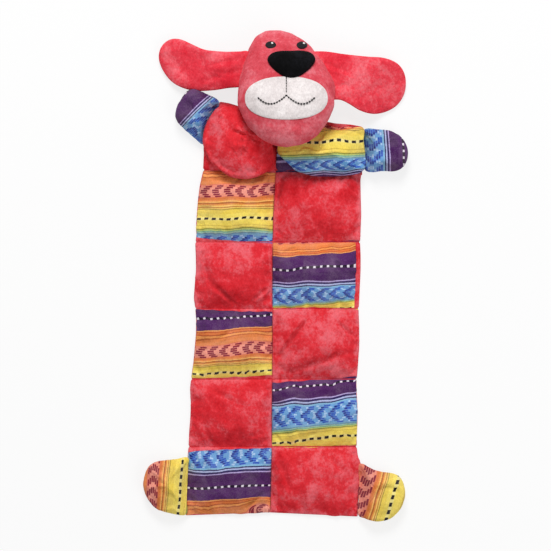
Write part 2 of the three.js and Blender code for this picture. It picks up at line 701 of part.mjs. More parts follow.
// The root line touches the head's side from outside, a small clearance off it
function earRoot(side) {
  const sign = side === 'left' ? -1 : 1;
  const [from, to] = side === 'left' ? EAR_LEFT_ROOT_SHARES : EAR_RIGHT_ROOT_SHARES;
  const onSide = (share) => {
    const section = headSection(share, 0);
    return new THREE.Vector3(section.x + sign * section.halfWidth, section.y, 0);
  };
  const lower = onSide(from);
  const upper = onSide(to);
  const along = upper.clone().sub(lower).normalize();
  const out = new THREE.Vector3(sign * along.y, -sign * along.x, 0);
  const bulges = Array.from({ length: HEAD_STATIONS }, (_, i) => {
    const share = THREE.MathUtils.lerp(from, to, i / HEAD_STATIONS);
    return onSide(share).sub(lower).dot(out);
  });
  const centre = lower.clone().add(upper).divideScalar(2);
  centre.addScaledVector(out, Math.max(...bulges) + EAR_ROOT_GAP);
  centre.z = headSection((from + to) / 2, 0).z;
  return { centre, along, out };
}

function buildEar(side) {
  const shares = side === 'left' ? EAR_LEFT_SHARES : EAR_RIGHT_SHARES;
  const { centre, along, out } = earRoot(side);
  const root = new THREE.Vector2();
  const outline = sewnOutline(shares, EAR_LENGTH, EAR_WIDTH, root, out, along);
  const middle = middleOf(outline);
  const half = SEAT_GAP / 2;
  const frontProfile = EAR_DOME_SHARES.map(([share, rise]) => [share, half + EAR_LAYER * rise]);
  frontProfile.push([0, half]);
  const backProfile = EAR_DOME_SHARES.toReversed().map(([share, rise]) => [share, -half - EAR_LAYER * rise]);
  backProfile.unshift([0, -half]);
  const hang = new THREE.Quaternion().setFromAxisAngle(
    out.clone().cross(new THREE.Vector3(0, 0, -1)).normalize(),
    THREE.MathUtils.degToRad(EAR_DROOP_DEGREES),
  );
  for (const [layer, profile] of [['front', frontProfile], ['back', backProfile]]) {
    const mesh = addPiece(`ear_${layer}_${side}`, ringBody(outline, middle, profile), CORAL);
    mesh.position.copy(centre);
    mesh.quaternion.copy(hang);
  }
}

// Paws and feet

// Limb outlines, outwards from the seam and along it, as shares of the limb's length
const PAW_LEFT_SHARES = [
  [0, 0.57], [0.314, 0.611], [0.703, 0.593], [0.876, 0.42], [0.925, 0.126], [0.888, -0.155],
  [0.75, -0.318], [0.409, -0.447], [0, -0.57], [0, -0.2], [0, 0.2],
];
const PAW_RIGHT_SHARES = [
  [0, 0.511], [0.296, 0.511], [0.66, 0.445], [0.89, 0.262], [1.025, -0.08], [0.981, -0.354],
  [0.752, -0.511], [0.35, -0.511], [0, -0.511], [0, -0.17], [0, 0.17],
];
const FOOT_LEFT_SHARES = [
  [0, 0.69], [0.261, 0.61], [0.743, 0.539], [0.885, 0.427], [0.988, 0.182], [0.994, -0.057],
  [0.929, -0.276], [0.792, -0.467], [0.618, -0.619], [0.351, -0.679], [0, -0.69], [0, -0.23], [0, 0.23],
];
const FOOT_RIGHT_SHARES = [
  [0, 0.586], [0.374, 0.49], [0.841, 0.44], [0.975, 0.321], [1.063, 0.063], [1.052, -0.181],
  [0.956, -0.434], [0.757, -0.626], [0.494, -0.688], [0.2, -0.658], [0, -0.586], [0, -0.2], [0, 0.2],
];
const LIMB_DOME_SHARES = [[0, 1], [0.4, 0.94], [0.65, 0.76], [0.84, 0.46], [0.95, 0.18]];
const LIMB_SOLE_SHARE = 0.86;
// Lower and upper ends of the paws' seams, in shares of the chest pockets
const PAW_LEFT_SEAM_SHARES = [[1, 0.36], [0.76, 0.99]];
const PAW_RIGHT_SEAM_SHARES = [[1, 0], [1, 0.62]];
// Lower and upper ends of the feet's seams, as shares of the way down the last row's sides
const FOOT_LEFT_SEAM_SHARES = [0.97, 0.12];
const FOOT_RIGHT_SEAM_SHARES = [0.97, 0.26];

// Where each limb is sewn to the mat: its lower and upper corner, and the way it points
function limbSeam(name) {
  const last = ROW_TOTAL - 1;
  const onSide = (edgeX, share) => new THREE.Vector2(
    THREE.MathUtils.lerp(edgeX(last), edgeX(last + 1), share),
    THREE.MathUtils.lerp(seamY(last), seamY(last + 1), share),
  );
  const ends = {
    paw_left: PAW_LEFT_SEAM_SHARES.map((shares) => chestPlace('left', ...shares)),
    paw_right: PAW_RIGHT_SEAM_SHARES.map((shares) => chestPlace('right', ...shares)),
    foot_left: FOOT_LEFT_SEAM_SHARES.map((share) => onSide(leftX, share)),
    foot_right: FOOT_RIGHT_SEAM_SHARES.map((share) => onSide(rightX, share)),
  };
  const [lower, upper] = ends[name];
  const sign = name.endsWith('left') ? -1 : 1;
  const along = upper.clone().sub(lower).normalize();
  const out = new THREE.Vector2(sign * along.y, -sign * along.x);
  const root = lower.clone().add(upper).divideScalar(2).addScaledVector(out, LIMB_SEAM_GAP);
  return { root, along, out };
}

// A stuffed limb that lies on the floor
function limb(name, shares, size, crown, colour) {
  const { root, along, out } = limbSeam(name);
  const outline = sewnOutline(shares, size, size, root, out, along);
  const profile = LIMB_DOME_SHARES.map(([share, rise]) => [share, layerZ + crown * rise]);
  profile.push([1, layerZ], [LIMB_SOLE_SHARE, SEAT_GAP], [0, SEAT_GAP]);
  addPiece(name, ringBody(outline, middleOf(outline), profile), colour);
}

function buildLimbs() {
  limb('paw_left', PAW_LEFT_SHARES, PAW_LENGTH, PAW_CROWN, STRIPE_BLUE);
  limb('paw_right', PAW_RIGHT_SHARES, PAW_LENGTH, PAW_CROWN, STRIPE_BLUE);
  limb('foot_left', FOOT_LEFT_SHARES, FOOT_LENGTH, FOOT_CROWN, STRIPE_YELLOW);
  limb('foot_right', FOOT_RIGHT_SHARES, FOOT_LENGTH, FOOT_CROWN, STRIPE_YELLOW);
}

buildMat();
buildHead();
SIDES.forEach(buildEar);
buildLimbs();

// The origin is on the floor, under the middle of the whole toy
const extent = new THREE.Box3().setFromObject(toy);
const middle = extent.getCenter(new THREE.Vector3());
toy.position.set(-middle.x, -middle.y, -extent.min.z);

export default toy;
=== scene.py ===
"""Looks of a squeaky dog toy: a patchwork mat of squeaker pockets with a stuffed head, ears, paws and feet.

Everything here is worked out in millimetres, in the frame of the CAD model, and turned into metres when a
mesh is made. The toy lies on its back, face up: +X to the right of the picture, +Y towards the head.
"""
import json
import math

import bpy
import numpy as np
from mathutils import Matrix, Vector


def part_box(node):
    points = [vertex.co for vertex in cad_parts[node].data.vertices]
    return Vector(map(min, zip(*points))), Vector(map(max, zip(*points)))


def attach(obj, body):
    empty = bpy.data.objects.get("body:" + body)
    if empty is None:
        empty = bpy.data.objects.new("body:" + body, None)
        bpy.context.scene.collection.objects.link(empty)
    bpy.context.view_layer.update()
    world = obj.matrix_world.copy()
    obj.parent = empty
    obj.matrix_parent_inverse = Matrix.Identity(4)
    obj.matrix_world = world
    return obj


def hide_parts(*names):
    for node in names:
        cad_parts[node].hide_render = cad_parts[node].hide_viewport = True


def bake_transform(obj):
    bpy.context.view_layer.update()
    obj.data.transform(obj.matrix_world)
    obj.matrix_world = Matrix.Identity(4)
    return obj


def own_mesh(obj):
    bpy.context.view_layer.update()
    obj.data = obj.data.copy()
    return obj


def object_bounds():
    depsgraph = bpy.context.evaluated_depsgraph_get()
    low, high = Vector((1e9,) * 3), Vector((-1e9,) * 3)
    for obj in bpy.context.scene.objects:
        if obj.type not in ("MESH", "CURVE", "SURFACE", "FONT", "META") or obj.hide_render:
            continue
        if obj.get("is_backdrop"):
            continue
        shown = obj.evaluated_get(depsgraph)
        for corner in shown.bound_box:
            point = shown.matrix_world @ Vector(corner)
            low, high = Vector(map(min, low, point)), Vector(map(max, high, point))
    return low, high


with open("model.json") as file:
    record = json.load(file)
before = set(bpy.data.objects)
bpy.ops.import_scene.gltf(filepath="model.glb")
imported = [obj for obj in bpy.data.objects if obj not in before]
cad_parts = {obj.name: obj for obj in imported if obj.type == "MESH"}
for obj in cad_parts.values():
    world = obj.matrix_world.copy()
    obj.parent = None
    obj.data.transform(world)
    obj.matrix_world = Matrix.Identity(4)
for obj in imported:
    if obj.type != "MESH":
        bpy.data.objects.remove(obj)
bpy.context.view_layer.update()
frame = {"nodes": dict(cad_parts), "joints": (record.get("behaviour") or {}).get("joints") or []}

MM = 0.001
FULL_TURN = 2 * math.pi
SIDES = ("left", "right")
ROWS = 6
LAST_ROW = ROWS - 1
FAR = 99.0  # stands for a seam or an edge that isn't near

# Places on the toy, as in the CAD source. The picture is a square of 551 pixels.
PICTURE_SIZE = 551
PICTURE_MIDDLE = (276.5, 275.0)
PIXEL = 1.232
SHIFT = np.array([-1.6354, -0.7896])
MAT_WIDTH = 208.0
ROW_PITCH = 85.3
SEAM_Y = np.array([2.51, 1.517, 0.477, -0.484, -1.502, -2.477, -3.481]) * ROW_PITCH + SHIFT[1]
LEFT_X = -np.array([0.43, 0.459, 0.4887, 0.4946, 0.51, 0.518, 0.538]) * MAT_WIDTH + SHIFT[0]
COLUMN_X = -np.array([0.015, 0.021, 0.0215, 0.0244, 0.0275, 0.032, 0.0385]) * MAT_WIDTH + SHIFT[0]
RIGHT_X = np.array([0.529, 0.5125, 0.5, 0.4885, 0.4885, 0.484, 0.49]) * MAT_WIDTH + SHIFT[0]
HINGE_Z = 3.0
CLOTH_Z = 3.4


def spot(px, py):
    """A place on the toy from where it is seen in the picture."""
    return np.array([(px - PICTURE_MIDDLE[0]) * PIXEL, (PICTURE_MIDDLE[1] - py) * PIXEL]) + SHIFT


def spots(pairs):
    return np.array([spot(*p) for p in pairs])


def picture_row(y):
    return PICTURE_MIDDLE[1] - (y - SHIFT[1]) / PIXEL


def side_line(pairs):
    """A side of the mat, drawn from head to feet: where it is across, for a place along the toy."""
    line = spots(pairs)[::-1]
    return lambda y: np.interp(y, line[:, 1], line[:, 0])


west_side = side_line([
    (206, 110), (203.6, 160), (203.4, 171), (201.6, 178), (199.8, 187), (198.2, 200), (197, 214),
    (196.2, 228), (196.8, 236), (195.4, 242), (196, 256), (196.2, 270), (195, 284), (194, 298),
    (195.2, 306), (196.4, 319), (196.2, 333), (195, 347), (193.8, 361), (191.8, 375), (190.2, 388),
    (191, 403), (190.6, 417), (189.4, 431), (188.8, 445), (188, 455), (187.4, 470), (187, 490),
    (186.2, 508), (185.6, 522)])
middle_line = side_line([
    (276.4, 110), (275.8, 170), (274.6, 190), (273.2, 215), (272.7, 242), (272.4, 275), (272.4, 345),
    (272.2, 379), (271.9, 410), (271.8, 446), (271, 480), (270, 522)])
east_side = side_line([
    (366, 128), (365.6, 150), (364.6, 166), (361.4, 173), (360.2, 180), (360.6, 200), (361, 214),
    (360.2, 235), (359.8, 242), (360.4, 256), (360.4, 270), (359.4, 290), (358.8, 304), (358.4, 312),
    (359, 326), (359, 347), (358, 361), (357.2, 372), (356.2, 382), (356.4, 392), (357.2, 405),
    (357.2, 424), (356.4, 438), (356.6, 447), (357.6, 456), (360.5, 463), (361.4, 468), (359.6, 485),
    (358.2, 500), (357.6, 512), (357.4, 522)])


# Curves and heights
def smooth(t):
    """A step from 0 to 1 with soft ends."""
    t = np.clip(t, 0.0, 1.0)
    return t * t * (3 - 2 * t)


def path_lengths(points):
    """How far along a path each of its points lies."""
    return np.concatenate([[0], np.cumsum(np.linalg.norm(np.diff(points, axis=0), axis=1))])


def closed_curve(points, count, steps=24):
    """A smooth closed curve through the points, as evenly spaced points, walked anticlockwise."""
    # Each point with the one before it and the two after it, as for a Catmull-Rom curve
    b = np.asarray(points, float)[:, None]
    a, c, d = np.roll(b, 1, 0), np.roll(b, -1, 0), np.roll(b, -2, 0)
    t = np.linspace(0, 1, steps, endpoint=False)[:, None]
    square, cube = (2 * a - 5 * b + 4 * c - d) * t * t, (3 * b - a - 3 * c + d) * t ** 3
    fine = (0.5 * (2 * b + (c - a) * t + square + cube)).reshape(-1, 2)
    x, y = fine.T
    if np.sum(x * np.roll(y, -1) - y * np.roll(x, -1)) < 0:
        fine = fine[::-1]
    ends = np.vstack([fine, fine[:1]])
    along = path_lengths(ends)
    want = np.linspace(0, along[-1], count, endpoint=False)
    return np.stack([np.interp(want, along, values) for values in ends.T], -1)


def squared_circle(turn, power):
    """Cosine and sine, bent so that they trace an oval with fuller corners where the power is over 2."""
    return [np.sign(w) * np.abs(w) ** (2 / power) for w in (np.cos(turn), np.sin(turn))]


def bell(*ways):
    """1 in the middle, falling off all round over a distance of about 1."""
    return np.exp(-sum(way ** 2 for way in ways))


def net(*values):
    """Points, or their measures, from their values."""
    return np.stack(np.broadcast_arrays(*values), -1)


def around(count):
    return np.linspace(0, FULL_TURN, count, endpoint=False)


WAVES_ADDED = 9
WAVES_HEIGHT = 3.6  # about how high they stand together


def waves(x, y, size, seed):
    """Soft uneven height, about -1 to 1, with hollows some `size` millimetres apart."""
    rng = np.random.default_rng(seed)
    total = np.zeros(np.broadcast(x, y).shape)
    for _ in range(WAVES_ADDED):
        turn, phase = rng.uniform(0, FULL_TURN, 2)
        k = FULL_TURN / (size * rng.uniform(0.75, 1.6))
        total = total + np.sin(k * (x * math.cos(turn) + y * math.sin(turn)) + phase)
    return total / WAVES_HEIGHT


def crease(x, y, start, end, width, depth):
    """A fold line in the cloth between two picture places: a hollow with a small rise beside it."""
    root = spot(*start)
    way = spot(*end) - root
    length = np.linalg.norm(way)
    t = ((x - root[0]) * way[0] + (y - root[1]) * way[1]) / length ** 2
    off = ((x - root[0]) * way[1] - (y - root[1]) * way[0]) / length
    ends = bell(np.clip(np.abs(t - 0.5) - 0.5, 0, None) * length / (1.6 * width))
    fade = ends * np.clip(1.25 - np.abs(t - 0.5) * 1.3, 0, 1)
    return depth * fade * (0.55 * bell(off / width - 1.6) - bell(off / width))


# Meshes
def link(name, data):
    """A new object in the scene."""
    thing = bpy.data.objects.new(name, data)
    bpy.context.scene.collection.objects.link(thing)
    return thing


def bare_mesh(name, points, faces):
    mesh = bpy.data.meshes.new(name)
    mesh.from_pydata(points.tolist(), [], [tuple(int(i) for i in f) for f in faces])
    return mesh


def make_mesh(name, points, faces, material, attributes=None, subdivide=1):
    """A smooth mesh from points in millimetres. It keeps its rest place, so that a texture stays put."""
    points = np.asarray(points, float).reshape(-1, 3)
    mesh = bare_mesh(name, points * MM, faces)
    mesh.validate()
    plain = {"rest_mm": points, "edge_mm": np.full_like(points, FAR)}
    for key, values in {**plain, **(attributes or {})}.items():
        measure = mesh.attributes.new(key, "FLOAT_VECTOR", "POINT")
        measure.data.foreach_set("vector", np.asarray(values, np.float32).ravel())
    mesh.polygons.foreach_set("use_smooth", np.ones(len(mesh.polygons), bool))
    mesh.materials.append(material)
    mesh.update()
    piece = link(name, mesh)
    if subdivide:
        modifier = piece.modifiers.new("Subdivision", "SUBSURF")
        modifier.levels = modifier.render_levels = subdivide
    return piece


def turned(faces):
    """The same faces, seen from their other side."""
    return [f[::-1] for f in faces]


def grid_faces(rows, columns, start=0, wrap=False):
    """The four-sided faces of a net of points, or of rings of points where it wraps."""
    faces = []
    for j in range(rows - 1):
        for i in range(columns if wrap else columns - 1):
            k = (i + 1) % columns
            low, high = start + j * columns, start + (j + 1) * columns
            faces.append([low + i, low + k, high + k, high + i])
    return faces


def ring_mesh(rings, first, last):
    """Points and faces of a closed body made of rings, closed by a middle point at each end."""
    rings = np.asarray(rings)
    count, sides = rings.shape[:2]
    points = np.vstack([rings.reshape(-1, 3), [first], [last]])
    faces = grid_faces(count, sides, wrap=True)
    top, bottom = count * sides, count * sides + 1
    for i in range(sides):
        k = (i + 1) % sides
        faces.append((top, k, i))
        faces.append((bottom, top - sides + i, top - sides + k))
    return points, faces


def level_ring(outline, middle, share, z):
    """An outline drawn in towards its middle, at one height."""
    return np.column_stack([middle + (outline - middle) * share, np.full(len(outline), z)])


def slab(name, over, under, material, edge=None, printed=None):
    """A closed sheet from two nets of points, one over the other, with a rim between them."""
    rows, columns = over.shape[:2]
    total = rows * columns
    faces = turned(grid_faces(rows, columns)) + grid_faces(rows, columns, start=total)
    index = np.arange(total).reshape(rows, columns)
    loop = np.concatenate([index[0], index[1:, -1], index[-1, -2::-1], index[-2:0:-1, 0]])
    faces += [(a, b, b + total, a + total) for a, b in zip(loop, np.roll(loop, -1))]
    measures = {"edge_mm": edge, "print_mm": printed}
    attributes = {key: np.stack([values] * 2) for key, values in measures.items() if values is not None}
    return make_mesh(name, np.concatenate([over, under]), faces, material, attributes)


# Finishing each piece: hiding the CAD parts it stands for, baking its place, giving it its own mesh
def dress(nodes=()):
    """Hides the CAD nodes that the piece stands for."""
    if nodes:
        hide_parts(*nodes)


def bend(piece, parent, child, start, end):
    """Bakes the piece's place into its mesh; the bodies and places it is given are not used."""
    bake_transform(piece)


def squeeze(piece):
    """Gives the piece a mesh of its own."""
    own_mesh(piece)


# Cloth simulation
SIM_SCALE = 0.01  # the cloth is worked out at ten times life size, where its settings behave like cloth
SIM_JITTER = 0.12  # uneven from the start, so that it doesn't crumple evenly
SIM_QUALITY = 5
SIM_MASS = 0.3
SIM_STIFFNESS = 15
SIM_SHEAR = 5


def simulate(points, faces, pinned, frames, ease, pressure, bending, seed):
    """Blows cloth up from inside, with some points held. The cloth is cut larger by `ease`, so it puckers."""
    rng = np.random.default_rng(seed)
    held = np.zeros(len(points), bool)
    held[pinned] = True
    start = points + rng.normal(0, SIM_JITTER, points.shape) * (~held)[:, None]
    cloth = link("sim", bare_mesh("sim", start * SIM_SCALE, faces))
    group = cloth.vertex_groups.new(name="held")
    group.add([int(i) for i in np.flatnonzero(held)], 1.0, "REPLACE")
    modifier = cloth.modifiers.new("Cloth", "CLOTH")
    settings = modifier.settings
    settings.quality = SIM_QUALITY
    settings.mass = SIM_MASS
    settings.tension_stiffness = settings.compression_stiffness = SIM_STIFFNESS
    settings.shear_stiffness = SIM_SHEAR
    settings.bending_stiffness = bending
    settings.vertex_group_mass = "held"
    settings.shrink_min = -ease
    settings.use_pressure = True
    settings.uniform_pressure_force = pressure
    settings.effector_weights.gravity = 0
    modifier.point_cache.frame_start = 1
    modifier.point_cache.frame_end = frames + 2
    for f in range(1, frames + 1):
        bpy.context.scene.frame_set(f)
    result = cloth.evaluated_get(bpy.context.evaluated_depsgraph_get())
    moved = np.zeros(len(points) * 3, np.float32)
    result.data.vertices.foreach_get("co", moved)
    bpy.data.objects.remove(cloth)
    bpy.context.scene.frame_set(1)
    return moved.reshape(-1, 3).astype(float) / SIM_SCALE


def swell(points, faces, pinned, cap, **settings):
    """Points moved by the simulation, none of them further than the cap."""
    move = simulate(points, faces, pinned, **settings) - points
    far = np.linalg.norm(move, axis=1, keepdims=True)
    return points + move * np.minimum(1, cap / np.maximum(far, 1e-6))


# Materials
def linear(rgb):
    """A colour given as 0-255 screen values, as the renderer wants it."""
    share = np.asarray(rgb, float) / 255
    return tuple(np.where(share <= 0.04045, share / 12.92, ((share + 0.055) / 1.055) ** 2.4)) + (1.0,)


class Nodes:
    """Shorthand for building a node tree. Any input may be a number, a colour or another node's output."""

    def __init__(self, tree):
        self.tree = tree

    def feed(self, node, inputs):
        for key, value in inputs.items():
            if isinstance(value, bpy.types.NodeSocket):
                self.tree.links.new(value, node.inputs[key])
            elif value is not None:
                node.inputs[key].default_value = value
        return node

    def new(self, kind, inputs=None, **settings):
        node = self.tree.nodes.new(kind)
        for key, value in settings.items():
            setattr(node, key, value)
        return self.feed(node, inputs or {})

    def math(self, operation, *values, clamp=False):
        node = self.new("ShaderNodeMath", dict(enumerate(values)), operation=operation, use_clamp=clamp)
        return node.outputs[0]

    def times(self, value, amount, plus=0.0, clamp=False):
        return self.math("MULTIPLY_ADD", value, amount, plus, clamp=clamp)

    def stray(self, value, noise, size):
        """The value moved either way by up to half of the size, as the noise says."""
        return self.times(self.math("SUBTRACT", noise, 0.5), size, value)

    def short_of(self, limit, value, steepness):
        """How far the value falls short of a limit, from 0 to 1."""
        return self.math("MULTIPLY", self.math("SUBTRACT", limit, value), steepness, clamp=True)

    def mix(self, factor, a, b, blend="MIX"):
        values = {"Factor": factor, 6: a, 7: b}
        return self.new("ShaderNodeMix", values, data_type="RGBA", blend_type=blend).outputs[2]

    def shaded(self, colour, shade):
        return self.mix(1.0, colour, self.join(shade, shade, shade), "MULTIPLY")

    def noise(self, vector, scale, detail=2.0, roughness=0.5, distortion=0.0):
        values = {"Vector": vector, "Scale": scale, "Detail": detail, "Roughness": roughness}
        return self.new("ShaderNodeTexNoise", {**values, "Distortion": distortion}).outputs["Fac"]

    def remap(self, value, inputs):
        return self.new("ShaderNodeMapRange", {"Value": value, **inputs}).outputs[0]

    def ramp(self, factor, stops):
        node = self.new("ShaderNodeValToRGB", {"Fac": factor})
        elements = node.color_ramp.elements
        while len(elements) < len(stops):
            elements.new(1.0)
        for element, (position, colour) in zip(elements, sorted(stops, key=lambda s: s[0])):
            element.position = position
            element.color = colour
        return node.outputs["Color"]

    def attribute(self, name):
        return self.new("ShaderNodeAttribute", attribute_name=name).outputs["Vector"]

    def split(self, vector):
        return self.new("ShaderNodeSeparateXYZ", {0: vector}).outputs

    def join(self, x, y, z):
        return self.new("ShaderNodeCombineXYZ", {0: x, 1: y, 2: z}).outputs[0]

    def scaled(self, vector, amounts):
        return self.new("ShaderNodeVectorMath", {0: vector, 1: amounts}, operation="MULTIPLY").outputs[0]

    def bump(self, height, distance, strength, normal=None):
        values = {"Height": height, "Distance": distance, "Strength": strength, "Normal": normal}
        return self.new("ShaderNodeBump", values).outputs[0]


def new_material(name):
    material = bpy.data.materials.new(name)
    material.use_nodes = True
    return material, Nodes(material.node_tree), material.node_tree.nodes["Principled BSDF"]


GROOVE_SHADE_REACH = 1.9  # how near a seam or crease its painted groove shade begins
RIM_SHEEN_REACH = 11.0  # how near a seam or side edge the painted pale sheen of the pile begins
PILE_BUMP = 0.5
SPECULAR = "Specular IOR Level"


def cloth_material(name, colouring, sheen, tint):
    """Short brushed pile, flecked, with a soft sheen, painted shade in its seams and creases, and a lumpy,
    fibrous surface.

    The colouring is a function that builds its colour from the nodes and the place at rest.
    """
    material, n, shader = new_material(name)
    rest = n.attribute("rest_mm")
    colour = colouring(n, rest)
    shade = n.times(n.noise(n.scaled(rest, (0.85, 0.34, 0.6)), 1.0, 3.0, 0.7), 0.64, 0.68)
    # Painted shade: darker along seams, the column edge and deep creases, unevenly, from the first edge
    # measure
    groove = n.short_of(GROOVE_SHADE_REACH, n.split(n.attribute("edge_mm"))[0], 0.3)
    groove = n.math("MULTIPLY", groove, n.times(n.noise(rest, 0.12, 1.0), 0.9))
    shade = n.math("MULTIPLY", shade, n.math("SUBTRACT", 1.0, groove))
    tufts = n.noise(rest, 0.26, 2.0, 0.5, 0.6)
    normal = n.bump(n.noise(rest, 0.07), 0.004, PILE_BUMP)
    normal = n.bump(tufts, 0.0014, PILE_BUMP, normal)
    normal = n.bump(n.noise(rest, 1.2, 3.0, 0.65), 0.0006, PILE_BUMP, normal)
    n.feed(shader, {
        "Base Color": n.shaded(colour, shade), "Normal": normal,
        "Roughness": n.remap(tufts, {"To Min": 0.82, "To Max": 1.0}), SPECULAR: 0.1,
        "Sheen Weight": sheen, "Sheen Roughness": 0.42, "Sheen Tint": linear(tint)})
    return material


def plush_colour(n, rest, deep, middle, light):
    """Plush whose colour turns lighter and darker with the way its pile is brushed, with painted pale sheen
    near seams and edges.
    """
    blotch = n.noise(rest, 0.021, 2.0, 0.5, 0.5)
    streak = n.noise(n.scaled(rest, (0.075, 0.055, 0.06)), 1.0, 3.0, 0.62, 0.7)
    fine = n.noise(rest, 0.3, 3.0, 0.65)
    level = n.times(fine, 0.24, n.times(streak, 0.34, n.times(blotch, 0.42)))
    # Near a seam or a side edge the colour turns paler: painted sheen, where the pile bends away
    painted_rim_sheen = n.short_of(RIM_SHEEN_REACH, n.split(n.attribute("edge_mm"))[1], 0.09)
    painted_rim_sheen = n.math("MULTIPLY", n.math("MULTIPLY", painted_rim_sheen, painted_rim_sheen), n.times(streak, 0.17))
    level = n.math("ADD", level, painted_rim_sheen)
    return n.ramp(level, [(0.38, linear(deep)), (0.49, linear(middle)), (0.62, linear(light))])


def plush_material(name, tones, sheen):
    return cloth_material(name, lambda n, rest: plush_colour(n, rest, *tones), sheen, tones[-1])


# The striped print: where its bands start along it in millimetres, and the tone that begins at each place
REPEAT = 142.0
PURPLE, CHEVRONS, YELLOW, IKAT = 0, 48.5, 78, 107
BANDS = [
    [(0.0, (72, 32, 88)), (9.0, (80, 38, 96)), (16.5, (84, 40, 100)), (30.3, (76, 34, 92)),
     (31.0, (238, 160, 92)), (32.4, (194, 86, 42)), (33.6, (226, 122, 62)), (36.0, (178, 78, 42)),
     (37.0, (242, 156, 84)), (39.3, (192, 94, 44)), (40.4, (230, 132, 70)), (44.0, (236, 142, 84)),
     (47.6, (222, 116, 80))],
    [(48.5, (236, 138, 114)), (52.0, (243, 154, 134)), (60.0, (240, 146, 122)), (63.4, (228, 122, 84)),
     (64.5, (222, 122, 62)), (66.8, (234, 140, 72)), (68.8, (250, 190, 104)), (70.2, (184, 104, 48)),
     (72.0, (234, 150, 72)), (73.6, (250, 204, 106)), (74.9, (200, 132, 60)), (76.2, (244, 206, 104)),
     (77.2, (170, 140, 54))],
    [(78.2, (238, 208, 84)), (83.0, (245, 220, 97)), (93.0, (244, 218, 93)), (96.4, (216, 186, 76)),
     (97.4, (242, 217, 97)), (99.4, (222, 196, 86)), (100.5, (130, 136, 56)), (101.7, (190, 202, 112)),
     (103.2, (118, 172, 146)), (104.6, (164, 200, 178)), (105.8, (98, 138, 160))],
    [(107.0, (118, 168, 202)), (110.0, (106, 160, 212)), (129.0, (110, 162, 214)), (131.4, (136, 186, 218)),
     (133.0, (38, 36, 88)), (134.6, (178, 186, 226)), (136.6, (44, 32, 88)), (139.4, (180, 162, 212)),
     (140.9, (70, 32, 86))],
]
BAND_BLEND = 0.22


def banded(n, along):
    """The plain colours of the bands, each edge a short blend."""
    starts = [part[0][0] for part in BANDS] + [REPEAT]
    colour = None
    for part, low, high in zip(BANDS, starts, starts[1:]):
        half = BAND_BLEND / (high - low)
        stops = []
        for k, (start, tint) in enumerate(part):
            place = (start - low) / (high - low)
            if k and place - half > stops[-1][0]:
                stops.append((place - half, stops[-1][1]))
            stops.append((place + half if k else 0.0, linear(tint)))
        here = n.ramp(n.remap(along, {"From Min": low, "From Max": high}), stops)
        colour = here if colour is None else n.mix(n.math("GREATER_THAN", along, low), colour, here)
    return colour


def between(n, value, low, high, soft=0.3):
    """1 where the value lies between two limits, with soft edges."""
    away = n.math("ABSOLUTE", n.math("SUBTRACT", value, (low + high) / 2))
    return n.short_of((high - low + soft) / 2, away, 1 / soft)


def dashed(n, colour, band, across, middle, half, ground, thread, period, share):
    """A strip of plain ground with dashes along it."""
    colour = n.mix(between(n, band, middle - half, middle + half), colour, linear(ground))
    dash = between(n, n.math("FLOORED_MODULO", across, period), 0.4, period * share)
    core = between(n, band, middle - half + 0.25, middle + half - 0.25)
    return n.mix(n.math("MULTIPLY", dash, core), colour, linear(thread))


def stepped(n, colour, band, across, start, rows, height, lean, period, share, tint, jitter, seed):
    """Short dashes in rows, stepped sideways so that they make arrow heads."""
    place = n.math("DIVIDE", n.math("SUBTRACT", band, start), height)
    row = n.math("FLOOR", place)
    away = n.math("ABSOLUTE", n.math("SUBTRACT", row, (rows - 1) / 2))
    side = n.times(away, -lean, across)
    cell = n.math("FLOOR", n.math("DIVIDE", side, period))
    white = n.new("ShaderNodeTexWhiteNoise", {"Vector": n.join(cell, row, seed)}, noise_dimensions="3D")
    step = n.stray(n.math("FLOORED_MODULO", side, period), white.outputs["Value"], jitter)
    dash = between(n, step, 0.5, period * share + 0.5)
    line = between(n, n.math("FRACT", place), 0.12, 0.92, 0.2)
    zone = between(n, place, 0.0, float(rows), 0.1)
    return n.mix(n.math("MULTIPLY", n.math("MULTIPLY", dash, line), zone), colour, linear(tint))


def faded_print(n, rest):
    """The woven-look print as the plush shows it, a little hazy and uneven."""
    place = n.attribute("print_mm")
    across, along, _ = n.split(place)
    along = n.stray(along, n.noise(place, 0.9, 2.0, 0.6), 1.1)
    along = n.stray(along, n.noise(place, 0.045, 1.0), 2.4)
    across = n.stray(across, n.noise(place, 1.1, 2.0, 0.6), 0.9)
    band = n.math("FLOORED_MODULO", along, REPEAT)
    colour = banded(n, band)
    for row in ((PURPLE + 15.5, 1.5, (32, 16, 44), (230, 220, 232), 8.3, 0.4),
                (YELLOW + 11.0, 1.6, (246, 230, 142), (20, 16, 14), 9.2, 0.6)):
        colour = dashed(n, colour, band, across, *row)
    for motif in ((CHEVRONS + 0.5, 6, 2.5, 2.6, 14.2, 0.56, (138, 26, 50), 1.2, 1.0),
                  (IKAT + 2.0, 10, 2.2, -2.4, 13.0, 0.3, (170, 202, 236), 3.4, 2.0),
                  (IKAT + 2.0, 10, 2.2, 2.4, 17.0, 0.46, (48, 88, 186), 4.2, 3.0),
                  (IKAT + 4.2, 8, 2.2, 2.4, 17.0, 0.2, (32, 50, 140), 2.6, 4.0)):
        colour = stepped(n, colour, band, across, *motif)
    haze = n.times(n.noise(rest, 0.05, 3.0, 0.6, 0.6), 0.2)
    haze = n.times(n.noise(rest, 0.8, 2.0, 0.7), 0.16, haze)
    colour = n.mix(n.math("SUBTRACT", haze, 0.15, clamp=True), colour, linear((244, 226, 232)))
    return n.shaded(colour, n.times(n.noise(rest, 0.04), 0.4, 0.76))


def patch_colour(n, rest):
    """Both cloths, parted by a seam that may run askew of the fold: print where edge z is above 0."""
    which = n.times(n.split(n.attribute("print_mm"))[2], 2.2, 0.5, clamp=True)
    return n.mix(which, plush_colour(n, rest, *CORAL_TONES), faded_print(n, rest))


